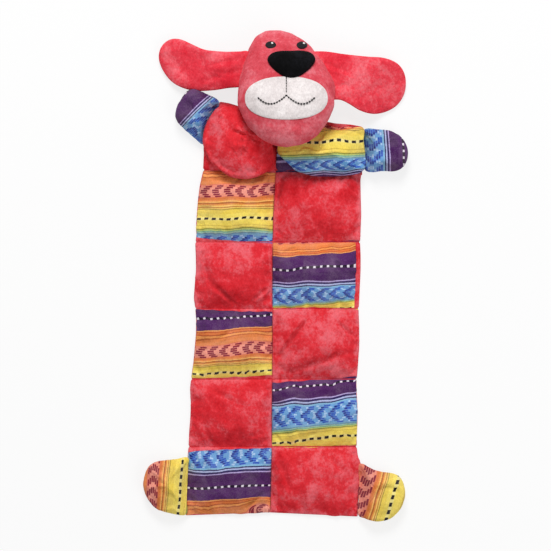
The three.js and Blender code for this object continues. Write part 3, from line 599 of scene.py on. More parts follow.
def thread_material(name, colour, lift):
    """Embroidery thread: satin strands."""
    material, n, shader = new_material(name)
    strand = n.noise(n.scaled(n.attribute("rest_mm"), (3.0, 0.6, 1.0)), 1.6)
    n.feed(shader, {"Base Color": n.mix(strand, linear(colour), linear(lift)), SPECULAR: 0.25,
                    "Roughness": n.times(strand, 0.3, 0.5), "Normal": n.bump(strand, 0.0003, 0.6)})
    return material


def plastic_material(name, colour, shade):
    """Soft moulded plastic with a slightly uneven, matt-to-satin skin."""
    material, n, shader = new_material(name)
    place = n.new("ShaderNodeTexCoord").outputs["Object"]
    patchy = n.noise(place, 120.0, 3.0, 0.6)
    n.feed(shader, {
        "Base Color": n.mix(patchy, linear(colour), linear(shade)), "Roughness": n.times(patchy, 0.25, 0.28),
        "Normal": n.bump(n.noise(place, 900.0), 0.0001, 0.3),
        "Subsurface Weight": 0.15, "Subsurface Radius": (0.004, 0.004, 0.004)})
    return material


CORAL_TONES = (206, 30, 40), (222, 50, 60), (234, 104, 114)
PRINT_TINT = (214, 200, 210)
CORAL = plush_material("Coral plush", CORAL_TONES, 0.36)
CORAL_PATCH = cloth_material("Coral patch", patch_colour, 0.36, CORAL_TONES[2])
PRINT_PATCH = cloth_material("Striped patch", patch_colour, 0.1, PRINT_TINT)
CORAL_EAR = plush_material("Coral ear plush", ((216, 40, 56), (230, 64, 78), (238, 112, 122)), 0.34)
CORAL_HEAD = plush_material("Coral head plush", ((200, 58, 70), (212, 80, 92), (228, 124, 134)), 0.38)
CREAM = plush_material("Cream plush", ((210, 200, 199), (225, 216, 215), (240, 233, 232)), 0.2)
VELOUR = plush_material("Black velour", ((3, 3, 4), (7, 7, 9), (22, 22, 27)), 0.07)
PRINT = cloth_material("Striped print plush", faded_print, 0.1, PRINT_TINT)
THREAD = thread_material("Black thread", (6, 6, 8), (20, 20, 24))
WHITE_THREAD = thread_material("White thread", (232, 230, 226), (250, 249, 246))
BULB_PLASTIC = plastic_material("Squeaker vinyl", (226, 224, 214), (206, 202, 190))
REED_PLASTIC = plastic_material("Reed plastic", (244, 242, 234), (226, 222, 212))

# The mat's pockets
CLOTH = 1.6
GRID_STEP = 2.1
EDGE_ROUGHNESS, EDGE_SIZE = 0.5, 9
# Puckers at the sewn edges: how much they change a pocket's height, their width, and how far in they run
SEAM_PUCKERS = (0.62, 10.5, 9)
SIDE_PUCKERS = (0.42, 11.5, 8)
PUCKER_DRAW = 0.15  # lengthens their waves square to the edge
LEAST_HEIGHT = 0.28
PRINT_DRAWN = 3.0  # how far puckers draw the print
FOLD_GAP = 0.45
FOLD_SLOPE = 0.67  # pockets no steeper than this from a fold clear each other when it closes
SQUEAKER_RADIUS = 19
POCKET_REACH = 9  # how far in from its sewn edges a pocket is shallow

# How far each seam strays from its hinge line, in picture pixels: west end, middle and east end of a patch
SEAM_STRAY = {
    ("left", 1): (0.9, 1.2, 2.4), ("left", 2): (-4.4, -0.7, 1.7), ("left", 3): (0.7, 2.4, 3.2),
    ("left", 4): (-0.4, -1.9, -4.1), ("left", 5): (5.2, 2.6, 1.5), ("left", 6): (-0.6, -2.1, -3.6),
    ("right", 1): (2.1, 2.6, 2.4), ("right", 2): (0.9, -0.4, -1.0), ("right", 3): (0.6, -1.1, 1.5),
    ("right", 4): (3.7, 0.9, -2.8), ("right", 5): (0.2, 0.5, -1.7), ("right", 6): (-4.0, -1.7, 0.6),
}

# The print on each striped patch: picture row against millimetres along the print, then how far the bands
# rise to the right, in pixels
PRINTED = {
    ("right", 0): ([(124, 65), (129, 71), (132.5, 77), (144, 89), (156, 100.5), (161.5, 107), (172, 131),
                    (177, 141)], 3),
    ("left", 1): ([(168, 29), (172, 33), (185.5, 48.5), (198, 64.5), (210, 78), (219.3, 89), (229, 100.5),
                   (234, 106), (242, 115)], 1.5),
    ("right", 2): ([(242, 53.5), (257, 31), (270, 15.5), (283, 0), (289.5, -9), (304, -33), (307, -41),
                    (309, -45)], 5),
    ("left", 3): ([(308, 0), (320, 15.5), (331, 31), (346, 48.5), (358.5, 64.5), (368, 78), (375, 89),
                   (379, 93)], 5.5),
    ("right", 4): ([(379, 33), (389, 15.5), (400, 0), (407, -9), (429, -34), (434, -41.5), (442.5, -53),
                    (447, -58)], 8),
    ("left", 5): ([(447, 109), (469.5, 133), (476, 142), (488, 157.5), (501, 173), (516, 189)], 4),
}
CRUMPLED_PATCH, CRUMPLED_CORNER = ("left", 5), spot(261, 507)
BACK_SHOWS = ("right", 2)  # past this patch the back's cloth comes round to the front
BACK_SHOWN = 4.2 * PIXEL
PURPLE_SHOWS = ("right", 1)  # where the strip of print beside this patch shows, it is plain purple

# Fold lines in single patches, as picture places: start, end, width and depth in millimetres
CREASES = {
    ("left", 1): [((232, 186), (243, 176), 2.4, 1.2), ((205, 176), (236, 184), 2.6, 1.2),
                  ((262, 186), (272, 178), 2.4, 0.9)],
    ("left", 2): [((213, 284), (233, 303), 3.2, 2.2), ((252, 300), (268, 288), 3.0, 1.2),
                  ((205, 262), (212, 288), 4.0, 0.9)],
    ("left", 3): [((214, 340), (230, 331), 2.6, 1.3), ((250, 318), (268, 328), 3.0, 1.2),
                  ((194, 346), (207, 350), 2.4, 0.9)],
    ("left", 4): [((213, 388), (238, 402), 4.4, 1.0), ((204, 424), (214, 448), 4.0, 0.9),
                  ((236, 440), (262, 432), 4.0, 0.8)],
    ("left", 5): [((208, 456), (203, 466), 2.2, 1.5), ((240, 470), (266, 480), 3.4, 1.0),
                  ((246, 508), (262, 494), 2.4, 1.3)],
    ("right", 1): [((283, 178), (276, 205), 3.4, 1.6), ((300, 186), (322, 180), 4.0, 0.8),
                   ((345, 182), (356, 192), 3.0, 1.0)],
    ("right", 2): [((336, 262), (344, 272), 2.6, 1.8), ((340, 303), (353, 290), 2.2, 1.6),
                   ((283, 252), (297, 246), 2.2, 1.2)],
    ("right", 3): [((281, 352), (304, 322), 3.4, 2.0), ((338, 322), (352, 334), 3.0, 1.4),
                   ((290, 372), (345, 352), 5.0, 1.2)],
    ("right", 4): [((283, 434), (297, 431), 2.4, 1.3), ((302, 436), (316, 433), 2.4, 1.0)],
    ("right", 5): [((281, 462), (292, 490), 4.5, 0.8), ((330, 456), (349, 474), 4.0, 0.8)],
}


def follow(value, places, marks):
    """Interpolates between places, and goes on straight past both ends."""
    before = (marks[1] - marks[0]) / (places[1] - places[0])
    past = (marks[-1] - marks[-2]) / (places[-1] - places[-2])
    inner = np.interp(value, places, marks)
    return inner + before * np.minimum(value - places[0], 0) + past * np.maximum(value - places[-1], 0)


def print_place(key, x, y, west, east):
    """Where each point lies on the striped print, across and along it. The third measure is for the seam."""
    table, rise = PRINTED[key]
    seen = picture_row(y) + (x - west) / (east - west) * rise
    along = follow(seen + waves(x, y, 46, 40 + 7 * key[1] + SIDES.index(key[0])), *zip(*table))
    if key == CRUMPLED_PATCH:
        # The lower corner shows more of the print
        along = along + 15 * bell((x - CRUMPLED_CORNER[0]) / 15, (y - CRUMPLED_CORNER[1]) / 9)
    return net(x - west, along, 0 * along)


def seam_seen(side, line, u):
    """Where a seam line is seen, which may stray from the fold under it."""
    west, middle, east = SEAM_STRAY[(side, line)]
    bow = 2 * (2 * middle - west - east) * u * (1 - u)
    uneven = 0.45 * waves(90 * u, 0 * u, 17, 600 + 2 * line + SIDES.index(side))
    return SEAM_Y[line] - PIXEL * (west + (east - west) * u + bow + uneven)


def to_folds(row, y):
    """How far a place in a row lies from the nearest fold of the mat."""
    upper = SEAM_Y[row] - y if row else FAR
    return np.minimum(upper, y - SEAM_Y[row + 1] if row < LAST_ROW else FAR)


def pocket_grid(side, row):
    """A flat net of points over one patch, from its upper seam to its lower one."""
    width = RIGHT_X[row] - COLUMN_X[row] if side == "right" else COLUMN_X[row] - LEFT_X[row]
    rows = int((SEAM_Y[row] - SEAM_Y[row + 1]) / GRID_STEP) + 1
    u, v = np.meshgrid(np.linspace(0, 1, int(width / GRID_STEP) + 1), np.linspace(0, 1, rows))
    upper, lower = SEAM_Y[row] - FOLD_GAP, SEAM_Y[row + 1] + FOLD_GAP
    if row == LAST_ROW:
        lower = seam_seen(side, ROWS, u) - 0.8 * waves(u * 90, 0 * u, 40, 5)
    y = upper + (lower - upper) * v
    rough = smooth(np.minimum(v, 1 - v) * 12)
    if side == "left":
        west, east = west_side(y) + EDGE_ROUGHNESS * waves(y, 0 * y, EDGE_SIZE, 33) * rough, middle_line(y)
    else:
        west, east = middle_line(y), east_side(y) - (BACK_SHOWN if (side, row) == BACK_SHOWS else 0)
        east = east + EDGE_ROUGHNESS * waves(y, 0 * y, EDGE_SIZE, 34) * rough
    return u, v, west + (east - west) * u, y


def blown_pockets():
    """The cloth of ten pockets as nets, blown up together in one simulation."""
    grids, nets, faces, held, start = {}, [], [], [], 0
    # Where it isn't simulated, the cloth starts as full as it would end
    rise, power = ((8.0, 0.6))
    for row in range(1, ROWS):
        for side in SIDES:
            u, v, x, y = pocket_grid(side, row)
            z = CLOTH_Z + rise * (16 * u * (1 - u) * v * (1 - v)) ** power
            nets.append(net(x, y, z).reshape(-1, 3))
            faces += turned(grid_faces(*u.shape, start=start))
            rim = (u == 0) | (u == 1) | (v == 0) | (v == 1)
            held.append(np.flatnonzero(rim) + start)
            grids[(side, row)] = u, v, start
            start += u.size
    points = simulate(np.vstack(nets), faces, np.concatenate(held), frames=26, ease=0.04, pressure=3.0,
                      bending=8.0, seed=1)
    return {key: (u, v, points[start:start + u.size].reshape(*u.shape, 3))
            for key, (u, v, start) in grids.items()}


def finished_cloth(side, row, u, v, points):
    """A pocket's cloth with its puckers and creases, its distances to its edges, and how it is gathered."""
    x, y, z = np.moveaxis(points, -1, 0)
    middle_x, middle_y = points[len(points) // 2, points.shape[1] // 2, :2]
    seed = 100 + row * 2 + SIDES.index(side)
    flat_x = x[:1] * (1 - v) + x[-1:] * v
    to_west, to_east = flat_x - flat_x[:, :1], flat_x[:, -1:] - flat_x
    to_side, to_column = np.minimum(to_west, to_east), to_east if side == "left" else to_west
    own = seam_seen(side, row, u) - y
    if row < LAST_ROW:
        own = np.minimum(own, y - seam_seen(side, row + 1, u))
    to_joined = np.abs(own)
    to_seam = to_joined if row < LAST_ROW else np.minimum(to_joined, y - y[-1:])
    inside = smooth(np.minimum(to_side, np.minimum(y[:1] - y, y - y[-1:])) / POCKET_REACH)
    # The seams gather the cloth into short puckers
    height, width, reach = SEAM_PUCKERS
    gather = height * waves(x, PUCKER_DRAW * y, width, seed) * np.exp(-to_seam / reach)
    height, width, reach = SIDE_PUCKERS
    gather = gather + height * waves(PUCKER_DRAW * x, y, width, seed + 40) * np.exp(-to_side / reach)
    z = CLOTH_Z + (z - CLOTH_Z) * np.clip(1 + gather, 0.15, 1.8)
    z = z + (0.85 * waves(x, y, 36, seed) + 0.3 * waves(x, y, 15, seed + 80)) * inside
    hollow = np.zeros_like(z)
    for fold in CREASES[(side, row)]:
        rise = 1.5 * crease(x, y, *fold) * inside
        z = z + rise
        hollow = np.maximum(hollow, -rise)
    # The first edge measure sets painted shade along the seams, the column edge and deep creases; the second
    # sets painted pale sheen near seams and sides
    groove = np.minimum(to_column, to_joined)
    groove = np.minimum(groove, GROOVE_SHADE_REACH - 1.5 * np.clip(hollow - 0.4, -1, 1.2))
    # The squeaker's rim shows softly through the cloth
    far = np.hypot(x - middle_x, y - middle_y)
    z = z + 0.5 * bell((far - SQUEAKER_RADIUS) / 4.5) * inside
    # Next to a fold the pockets stay low enough to lie against each other
    z = np.minimum(z, HINGE_Z + FOLD_SLOPE * np.clip(to_folds(row, y), 0, None))
    z = np.maximum(z, HINGE_Z + LEAST_HEIGHT)
    edge = net(groove, np.minimum(to_side, to_seam), own).clip(-FAR, FAR)
    return net(x, y, z), edge, gather


def pocket(side, row, u, v, points):
    points, edge, gather = finished_cloth(side, row, u, v, points)
    measures = points[..., 0], points[..., 1], points[:, :1, 0], points[:, -1:, 0]
    coral = (row + SIDES.index(side)) % 2 == 0
    if coral:
        # Along its seams it may show a strip of the striped patch above or below
        printed = print_place((side, row - 1), *measures)
        if (side, row + 1) in PRINTED:
            printed = np.where(v[..., None] < 0.5, printed, print_place((side, row + 1), *measures))
        if (side, row) == PURPLE_SHOWS:
            printed[..., 1] = REPEAT + 4
    else:
        printed = print_place((side, row), *measures)
    printed[..., 1] += PRINT_DRAWN * gather
    printed[..., 2] = -edge[..., 2] if coral else edge[..., 2]
    inner = points.copy()
    inner[..., 2] = np.maximum(inner[..., 2] - CLOTH, HINGE_Z + 0.05)
    material, slot = (CORAL_PATCH, "coral_plush") if coral else (PRINT_PATCH, "striped_cloth")
    piece = slab(f"pocket_row{row + 1}_{side}", points, inner, material, edge, printed)
    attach(piece, f"row{row + 1}")
    dress([f"front_patch_row{row + 1}_{side}"])
    squeeze(piece)


for place, cloth in blown_pockets().items():
    pocket(*place, *cloth)

# The back of the mat: thin at its fold seams, rounded at its side edges
BACK_STEP = 3.0
BACK_GAP = 0.75
BACK_PROUD = 0.4
BACK_SHOULDER = 8.0
BACK_ROLL, BACK_ROLL_HEIGHT = 5.6, 2.9
BACK_THIN = 2.3  # how far the back's underside rises at a fold
BACK_UNEVEN = 0.12
CHEST_BACK_ROWS = 30
# The upper back's edges: its neckline along the toy against across it, and its sides from the neckline down
NECKLINE = ([-72, -60, -47, -26, -6, 16, 38, 56, 71, 90, 104],
            [213, 211, 207, 203.6, 201.4, 200.4, 193.6, 189, 186, 184.6, 182])
CHEST_BACK_WEST = ([0, 0.25, 0.62, 1], [-71.6, -80.2, -90.8, -92.2])
CHEST_BACK_EAST = ([0, 0.9, 1], [103.9, 105.6, 103.4])


def back_plan(row):
    """Across and along the toy, and how near the outer edges, for a net of points over a row of the back."""
    columns = int((RIGHT_X[row + 1] - LEFT_X[row + 1]) / BACK_STEP) + 1
    rows = int((SEAM_Y[row] - SEAM_Y[row + 1]) / BACK_STEP) + 1 if row else CHEST_BACK_ROWS
    u, v = np.meshgrid(np.linspace(0, 1, columns), np.linspace(0, 1, rows))
    top, low = SEAM_Y[row] - BACK_GAP, SEAM_Y[row + 1] + (BACK_GAP if row < LAST_ROW else 0)
    if row == 0:
        west, east = np.interp(v, *CHEST_BACK_WEST), np.interp(v, *CHEST_BACK_EAST)
        x = west + (east - west) * u
        top = np.interp(x, *NECKLINE)
        y = top + (low - top) * v
        return x, y, np.minimum(np.minimum(u, 1 - u) * 180, top - y)
    y = top + (low - top) * v
    to_side = np.minimum(u, 1 - u) * (RIGHT_X[row] - LEFT_X[row])
    if row == LAST_ROW:
        (corner, _, column), (_, _, far_corner) = SEAM_STRAY[("left", ROWS)], SEAM_STRAY[("right", ROWS)]
        stray = np.interp(u, [0, 0.48, 1], [corner, column, far_corner])
        y = y - smooth((v - 0.6) / 0.4) * PIXEL * stray
        to_side = np.minimum(to_side, (1 - v) * ROW_PITCH)
    west, east = west_side(y) - BACK_PROUD, east_side(y) + BACK_PROUD
    return west + (east - west) * u, y, to_side


def back_heights(row, x, y, to_side):
    """The back's two faces over its plan."""
    to_fold = to_folds(row, y)
    pucker = 0.5 * waves(x, y * 0.3, 13, 300 + row) * np.exp(-to_fold / 7)
    rise_fold = BACK_THIN * (1 - smooth((to_fold - pucker * 2) / BACK_SHOULDER))
    rise_side = 1.5 * (1 - np.sqrt(np.clip(to_side / 4.0, 0, 1)))
    under = np.maximum(rise_fold, rise_side) + BACK_UNEVEN + BACK_UNEVEN * waves(x, y, 22, 320 + row)
    under = np.clip(np.maximum(under, HINGE_Z - FOLD_SLOPE * to_fold), 0.02, 2.6)
    over = HINGE_Z - 0.25 - 0.35 * np.exp(-to_side / 1.5)
    if row == BACK_SHOWS[1]:
        roll = np.clip((x - east_side(y) - BACK_PROUD + BACK_ROLL) / BACK_ROLL, 0, 1)
        over = over + BACK_ROLL_HEIGHT * np.sin(np.pi * roll) ** 0.7 * smooth(to_fold / 6)
    return over, under


for row in range(ROWS):
    x, y, to_side = back_plan(row)
    over, under = back_heights(row, x, y, to_side)
    # Its second edge measure gives painted pale sheen near the side edges
    piece = slab(f"back_row{row + 1}", net(x, y, over), net(x, y, under), CORAL, net(FAR, to_side, to_side))
    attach(piece, f"row{row + 1}")
    dress([f"back_panel_row{row + 1}"])

# Seam allowances: strips of cloth sewn into each fold seam
SEAM_HALF_WIDTH = 6.5
SEAM_INSET = 0.7
BRANCH_ROW = 3  # the joints run up from this row to the chest, and down from it to the feet
u, v = np.meshgrid(np.linspace(0, 1, 60), np.linspace(0, 1, 17))
for line in range(1, ROWS):
    seam_y = SEAM_Y[line]
    west, east = west_side(seam_y) + SEAM_INSET, east_side(seam_y) - SEAM_INSET
    x, y = west + (east - west) * u, seam_y + SEAM_HALF_WIDTH * (1 - 2 * v)
    rim = smooth(np.minimum(v, 1 - v) * 6)
    over, under = net(x, y, HINGE_Z + 0.06 + 0.22 * rim), net(x, y, HINGE_Z - 0.06 - 0.14 * rim)
    to_fold = np.abs(y - seam_y)
    # The first edge measure paints shade down the middle of the strip, along the fold
    piece = slab(f"seam_{line}", over, under, CORAL, net(to_fold, to_fold + FAR, to_fold + FAR))
    rows = (f"row{line}", f"row{line + 1}")
    ends = [(0, seam_y + way * SEAM_HALF_WIDTH, HINGE_Z) for way in (1, -1)]
    step = -1 if line < BRANCH_ROW else 1
    bend(piece, *rows[::step], *ends[::step])
    dress()

# Head
CHIN_Y, HEAD_LENGTH = SEAM_Y[0] - 58.0, 144.8
CHIN_Z, HEAD_LEAN = 52.2, 40.0
HEAD_FRONT, HEAD_BACK = 38.0, 28.0
HEAD_CORNERS = 2.15
HEAD_STATIONS, HEAD_SIDES = 56, 88
FACE_X = 12.0 + SHIFT[0]
EYE_ACROSS = 19.0
HEAD_RIGHT = spots([
    (289, 148), (300, 146.2), (309, 142.6), (318.5, 135.6), (325.6, 126.6), (330.6, 116.6), (334, 105),
    (335.3, 92.5), (334, 83), (331.2, 76), (327, 68.5), (321, 59), (313, 49.5), (303, 40.2), (292, 33.8),
    (281, 31)])
HEAD_LEFT = spots([
    (284, 148.2), (275, 146.8), (266.4, 143), (257, 136.8), (249, 128.6), (242.8, 119.4), (239, 110),
    (237.2, 100), (237.4, 90), (239.4, 80.5), (242.2, 70.5), (245.2, 60), (248.8, 48), (256, 37),
    (266, 31.4), (274, 30.6)])


def head_section(y):
    """Middle, half width, mid height, front depth and back depth of the head at a place along it."""
    right, left = [np.interp(y, line[:, 1], line[:, 0]) for line in (HEAD_RIGHT, HEAD_LEFT)]
    share = np.clip((y - CHIN_Y) / HEAD_LENGTH, 0, 1)
    depth = 2 * np.sqrt(share * (1 - share)) * (1 - 0.3 * np.clip(share - 0.45, 0, None))
    middle, half = (right + left) / 2, (right - left) / 2
    return middle, half, CHIN_Z - HEAD_LEAN * share, HEAD_FRONT * depth, HEAD_BACK * depth


def face_relief(x, y):
    """Two cheeks beside a shallow furrow, a crease for the lower lip, and hollows where the eyes are sewn."""
    across, up = x - FACE_X, y - (CHIN_Y + 0.4 * HEAD_LENGTH)
    cheeks = 3.2 * bell((np.abs(across) - 25) / 17, up / 25)
    furrow = 1.6 * bell(across / 5.5, (up - 10) / 18)
    sockets = 1.8 * bell((np.abs(across) - EYE_ACROSS) / 9, (up - 66) / 8)
    lip = 1.3 * bell((up + 31 - 0.004 * across * across) / 4.5, across / 34)
    return cheeks - furrow - sockets - lip


def head_front_z(x, y):
    middle, half, z, front, _ = head_section(y)
    across = np.clip(np.abs(x - middle) / np.maximum(half, 1e-6), 0, 1)
    body = (1 - across ** 2.25) ** (1 / 2.1)
    return z + front * body + face_relief(x, y) * body


def head_back_z(x, y):
    middle, half, z, _, back = head_section(y)
    across = np.clip(np.abs(x - middle) / np.maximum(half, 1e-6), 0, 1)
    return z - back * np.sqrt(1 - across ** 2)


def build_head():
    turn = around(HEAD_SIDES)
    share = (1 - np.cos(np.linspace(0, math.pi, HEAD_STATIONS + 2)[1:-1, None])) / 2
    y = CHIN_Y + share * HEAD_LENGTH
    middle, half, z, front, back = head_section(y)
    across, up = squared_circle(turn, HEAD_CORNERS)
    rise = np.where(up > 0, front, back) * up
    offset = net(half * across, 0, rise)
    x, y, z = middle + half * across, y + 0 * rise, z + rise
    out = offset / np.maximum(np.linalg.norm(offset, axis=-1, keepdims=True), 1e-6)
    # Seams: one along each side between face and back, one down the middle of the crown and chin
    face = np.sin(turn) > 0
    ends = face & ((share > 0.82) | (share < 0.16))
    groove = 1.3 * bell(np.sin(turn) * 40 / 2.2) + 0.9 * bell((x - middle) / 1.8) * ends
    lumps = 0.8 * waves(x + 0.7 * z, y, 30, 77) + 0.35 * waves(x - z, y, 13, 78)
    rings = net(x, y, z) + out * (lumps - groove)[..., None]
    rings[..., 2] += np.where(face, face_relief(x, y) * np.clip(np.sin(turn), 0, 1) ** 0.9, 0)
    rings[..., 2] = np.maximum(rings[..., 2], 0.1)
    crown_y = CHIN_Y + HEAD_LENGTH
    first = [head_section(CHIN_Y + 0.2)[0], CHIN_Y, CHIN_Z]
    last = [head_section(crown_y - 0.2)[0], crown_y, CHIN_Z - HEAD_LEAN]
    points, faces = ring_mesh(rings, first, last)
    piece = make_mesh("head", points, turned(faces), CORAL_HEAD)
    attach(piece, "head")
    dress(["head_front", "head_back", "head_stuffing"])


build_head()


# Face
def face_point(x, y, height):
    """A place some way off the front of the head, square to it."""
    step = 0.6
    slope_x = (head_front_z(x + step, y) - head_front_z(x - step, y)) / (2 * step)
    slope_y = (head_front_z(x, y + step) - head_front_z(x, y - step)) / (2 * step)
    normal = net(-slope_x, -slope_y, 1)
    normal = normal / np.linalg.norm(normal, axis=-1, keepdims=True)
    return net(x, y, head_front_z(x, y)) + normal * np.asarray(height)[..., None]


def face_patch(name, outline, middle, profile, material, nodes=(), wobble=0.0):
    """A cushioned piece that follows the face: rings drawn in from an outline."""
    rings = []
    for share, height in profile:
        x, y = (middle + (outline - middle) * share).T
        rise = height + (wobble if share < 1 else 0) * waves(x, y, 16, 8)
        rings.append(face_point(x, y, rise))
    top, low = [face_point(*middle[:, None], [profile[end][1]])[0] for end in (0, -1)]
    points, faces = ring_mesh(rings, top, low)
    piece = make_mesh(name, points, turned(faces), material)
    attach(piece, "head")
    dress(nodes)


def oval(middle, half, count, power=2.0):
    return middle + np.column_stack(squared_circle(around(count), power)) * half


def dome_profile(height, rim, steps, low=-0.6):
    """Rings of a cushion: shares of the outline with heights, top to rim to underside."""
    shares = np.sin(np.linspace(0.12, math.pi / 2, steps))
    rows = [(s, rim + height * (1 - s ** 2.4) ** 0.5) for s in shares]
    return rows + [(0.99, rim - 0.35), (0.9, low), (0.4, low)]


def face_spot(across, share):
    return np.array([FACE_X + across, CHIN_Y + share * HEAD_LENGTH])


MUZZLE_MIDDLE, MUZZLE_HALF = face_spot(0, 0.41), (50.5, 26.5)
NOSE_MIDDLE, NOSE_HALF = face_spot(6.0, 0.69), (29.0, 16.5)
EYE_SHARE, EYE_HALF = 0.865, (6.6, 4.7)
GLINT_HALF, GLINT_ASIDE = (1.6, 1.2), (1.8, 1.5)
NOSE_RIGHT = [(0.45, -0.74), (0.85, -0.12), (1, 0.45), (0.72, 0.92)]
NOSE_OUTLINE = np.array([(0, -1), *NOSE_RIGHT, (0, 1), *[(-a, b) for a, b in NOSE_RIGHT[::-1]]])
face_patch("muzzle", oval(MUZZLE_MIDDLE, MUZZLE_HALF, 96, 2.25), MUZZLE_MIDDLE, dome_profile(2.2, 0.5, 9),
           CREAM, ["muzzle_patch"], wobble=0.25)
face_patch("nose_tip", closed_curve(NOSE_MIDDLE + NOSE_OUTLINE * NOSE_HALF, 72), NOSE_MIDDLE,
           dome_profile(10.0, 0.6, 11), VELOUR, ["nose"], wobble=0.35)
for side, sign in zip(SIDES, (-1, 1)):
    middle = face_spot(sign * EYE_ACROSS, EYE_SHARE)
    face_patch(f"eye_{side}_stitched", oval(middle, EYE_HALF, 40), middle, dome_profile(1.5, 0.5, 6), THREAD,
               [f"eye_{side}"])
    glint = middle + GLINT_ASIDE
    face_patch(f"eye_{side}_glint", oval(glint, GLINT_HALF, 16), glint, dome_profile(0.5, 1.6, 4, 1.0),
               WHITE_THREAD)

STITCH_PITCH = 3.3
STITCH_SHARE = 0.86  # of the pitch, the rest is the gap to the next stitch
STITCH_LIFT = 3.1
STITCH_HALF_WIDTH, STITCH_HALF_HEIGHT = 1.0, 0.75
STITCH_RINGS, STITCH_SIDES = 6, 8


def stitched_line(name, route):
    """A row of short raised stitches along a route over the face."""
    along = path_lengths(route)
    t, turn = np.linspace(0, 1, STITCH_RINGS)[:, None], around(STITCH_SIDES)
    fullness = np.sqrt(np.maximum(1 - (2 * t - 1) ** 4, 0.12))
    aside = STITCH_HALF_WIDTH * fullness * np.cos(turn)
    height = STITCH_LIFT + STITCH_HALF_HEIGHT * fullness * np.sin(turn)
    points, faces = [], []
    for k in range(int(along[-1] / STITCH_PITCH)):
        begin, end = [np.array([np.interp((k + part) * STITCH_PITCH, along, values) for values in route.T])
                      for part in (0, STITCH_SHARE)]
        step = end - begin
        square = np.array([-step[1], step[0]]) / np.linalg.norm(step)
        plan = begin + step * t[..., None] + square * aside[..., None]
        points.append(face_point(plan[..., 0], plan[..., 1], height))
        start = k * height.size
        faces += grid_faces(STITCH_RINGS, STITCH_SIDES, start=start, wrap=True)
        rim = tuple(range(start, start + STITCH_SIDES))
        faces += [rim[::-1], tuple(i + height.size - STITCH_SIDES for i in rim)]
    piece = make_mesh(name, np.array(points), faces, THREAD)
    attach(piece, "head")
    dress()


# The mouth: a line from the nose down to a fork, and an arc to each side
MOUTH_TOP, MOUTH_BEND, MOUTH_FORK = [MUZZLE_MIDDLE + [0, up] for up in (25.0, 14, 3.0)]
MOUTH_REACH, MOUTH_DROP, MOUTH_CURL = 34, 11.5, 4.0
stitched_line("mouth_middle", np.array([MOUTH_TOP, MOUTH_BEND, MOUTH_FORK]))
for side, sign in zip(SIDES, (-1, 1)):
    t = np.linspace(0, 1, 30)
    arc = net(sign * MOUTH_REACH * t, -MOUTH_DROP * np.sin(t * math.pi * 0.82) + MOUTH_CURL * t ** 3)
    stitched_line(f"mouth_{side}", MOUTH_FORK + arc)

# Chest pockets: where each is sewn down, how far it bulges over that, and its folds as in CREASES
CHEST = {
    "left": dict(
        sewn=[
            (275, 170), (262, 170.2), (248, 170), (232, 170.2), (216, 170), (204.4, 168.6), (203.8, 156),
            (203.6, 146), (208, 133), (213, 119), (219.6, 104.6), (230, 105), (244, 109), (262, 112),
            (275, 113), (275, 132), (275, 151)],
        bulge=[
            (275.4, 160), (268, 170.6), (257, 176.6), (245, 178.8), (233, 176.8), (221, 170.6),
            (211, 160.6), (205.2, 149), (203.8, 138), (206, 126), (211, 116), (218.6, 108), (230, 105.6),
            (244, 108), (262, 112), (275, 113), (275.6, 132), (275.6, 148)],
        folds=[
            ((260, 141.5), (236, 133), 2.4, 4.2), ((241, 139), (246, 145), 2.0, 1.8),
            ((226, 124), (238, 140), 5.0, 1.6), ((262, 165), (248, 160), 4.0, 1.2)],
        middle=spot(241, 141), material=CORAL, slot="coral_plush", seed=64),
    "right": dict(
        sewn=[
            (276.5, 170), (290, 170.2), (308, 170), (326, 170.2), (345, 170), (362.4, 169.4), (362.6, 158),
            (363, 145), (363.6, 130), (352, 126.4), (338, 127.6), (324, 124.4), (308, 118), (292, 114),
            (276.5, 113), (276.5, 132), (276.5, 151)],
        bulge=[
            (278.6, 154), (284, 160.6), (291.6, 167.4), (302, 172.6), (315, 175), (332, 175.2),
            (348, 174.6), (359.4, 172.4), (365, 165), (365.6, 150), (365.6, 136), (364, 128.4),
            (356, 125.2), (339, 127.4), (324, 124.4), (308, 118), (292, 114), (277, 113), (276.2, 130),
            (276.6, 146)],
        folds=[
            ((300, 161), (286, 152), 2.4, 2.0), ((328, 131), (337, 141), 3.0, 1.6),
            ((345, 166), (352, 152), 2.6, 1.6), ((310, 168), (316, 158), 2.4, 1.3)],
        middle=spot(321, 148), material=PRINT, slot="striped_cloth", seed=65),
}
CHEST_SIDES = 156
CHEST_FOOT, CHEST_WAIST, CHEST_CROWN = CLOTH_Z + 2.3, 15.0, 38.5
CHEST_SOLE = CLOTH_Z - 0.1
CHEST_PRINT_COLUMNS = (276.5, 365)
# The flat margin at the right one's foot: where it is in the picture, and how high. Then its print: how far
# along it is at one row of the picture, how much more at each row below, how far it leans, and its limits
MARGIN_ROW, MARGIN_COLUMN, MARGIN_HEIGHT = 140, 308, 3.4
MARGIN_PRINT, MARGIN_PRINT_ROW, MARGIN_STEP, MARGIN_LEAN = 130.5, 148.0, 0.66, 0.06
MARGIN_LIMITS = (126, 148)


def reach(points, middle, turn):
    """An outline's distance from its middle, at each turn."""
    line = closed_curve(spots(points), 720) - middle
    angle = np.arctan2(line[:, 1], line[:, 0])
    order = np.argsort(angle)
    angle, radius = angle[order], np.hypot(*line.T)[order]
    return np.interp(turn, np.concatenate([angle - FULL_TURN, angle, angle + FULL_TURN]), np.tile(radius, 3))


def rest_chin(points, gap):
    """Presses a chest pocket down where the chin rests on it."""
    chin = head_back_z(points[:, 0], points[:, 1])
    upper = points[:, 2] > CLOTH_Z + 1.2
    points[upper, 2] = np.minimum(points[upper, 2], np.maximum(chin[upper] - gap, CLOTH_Z + 1.0))


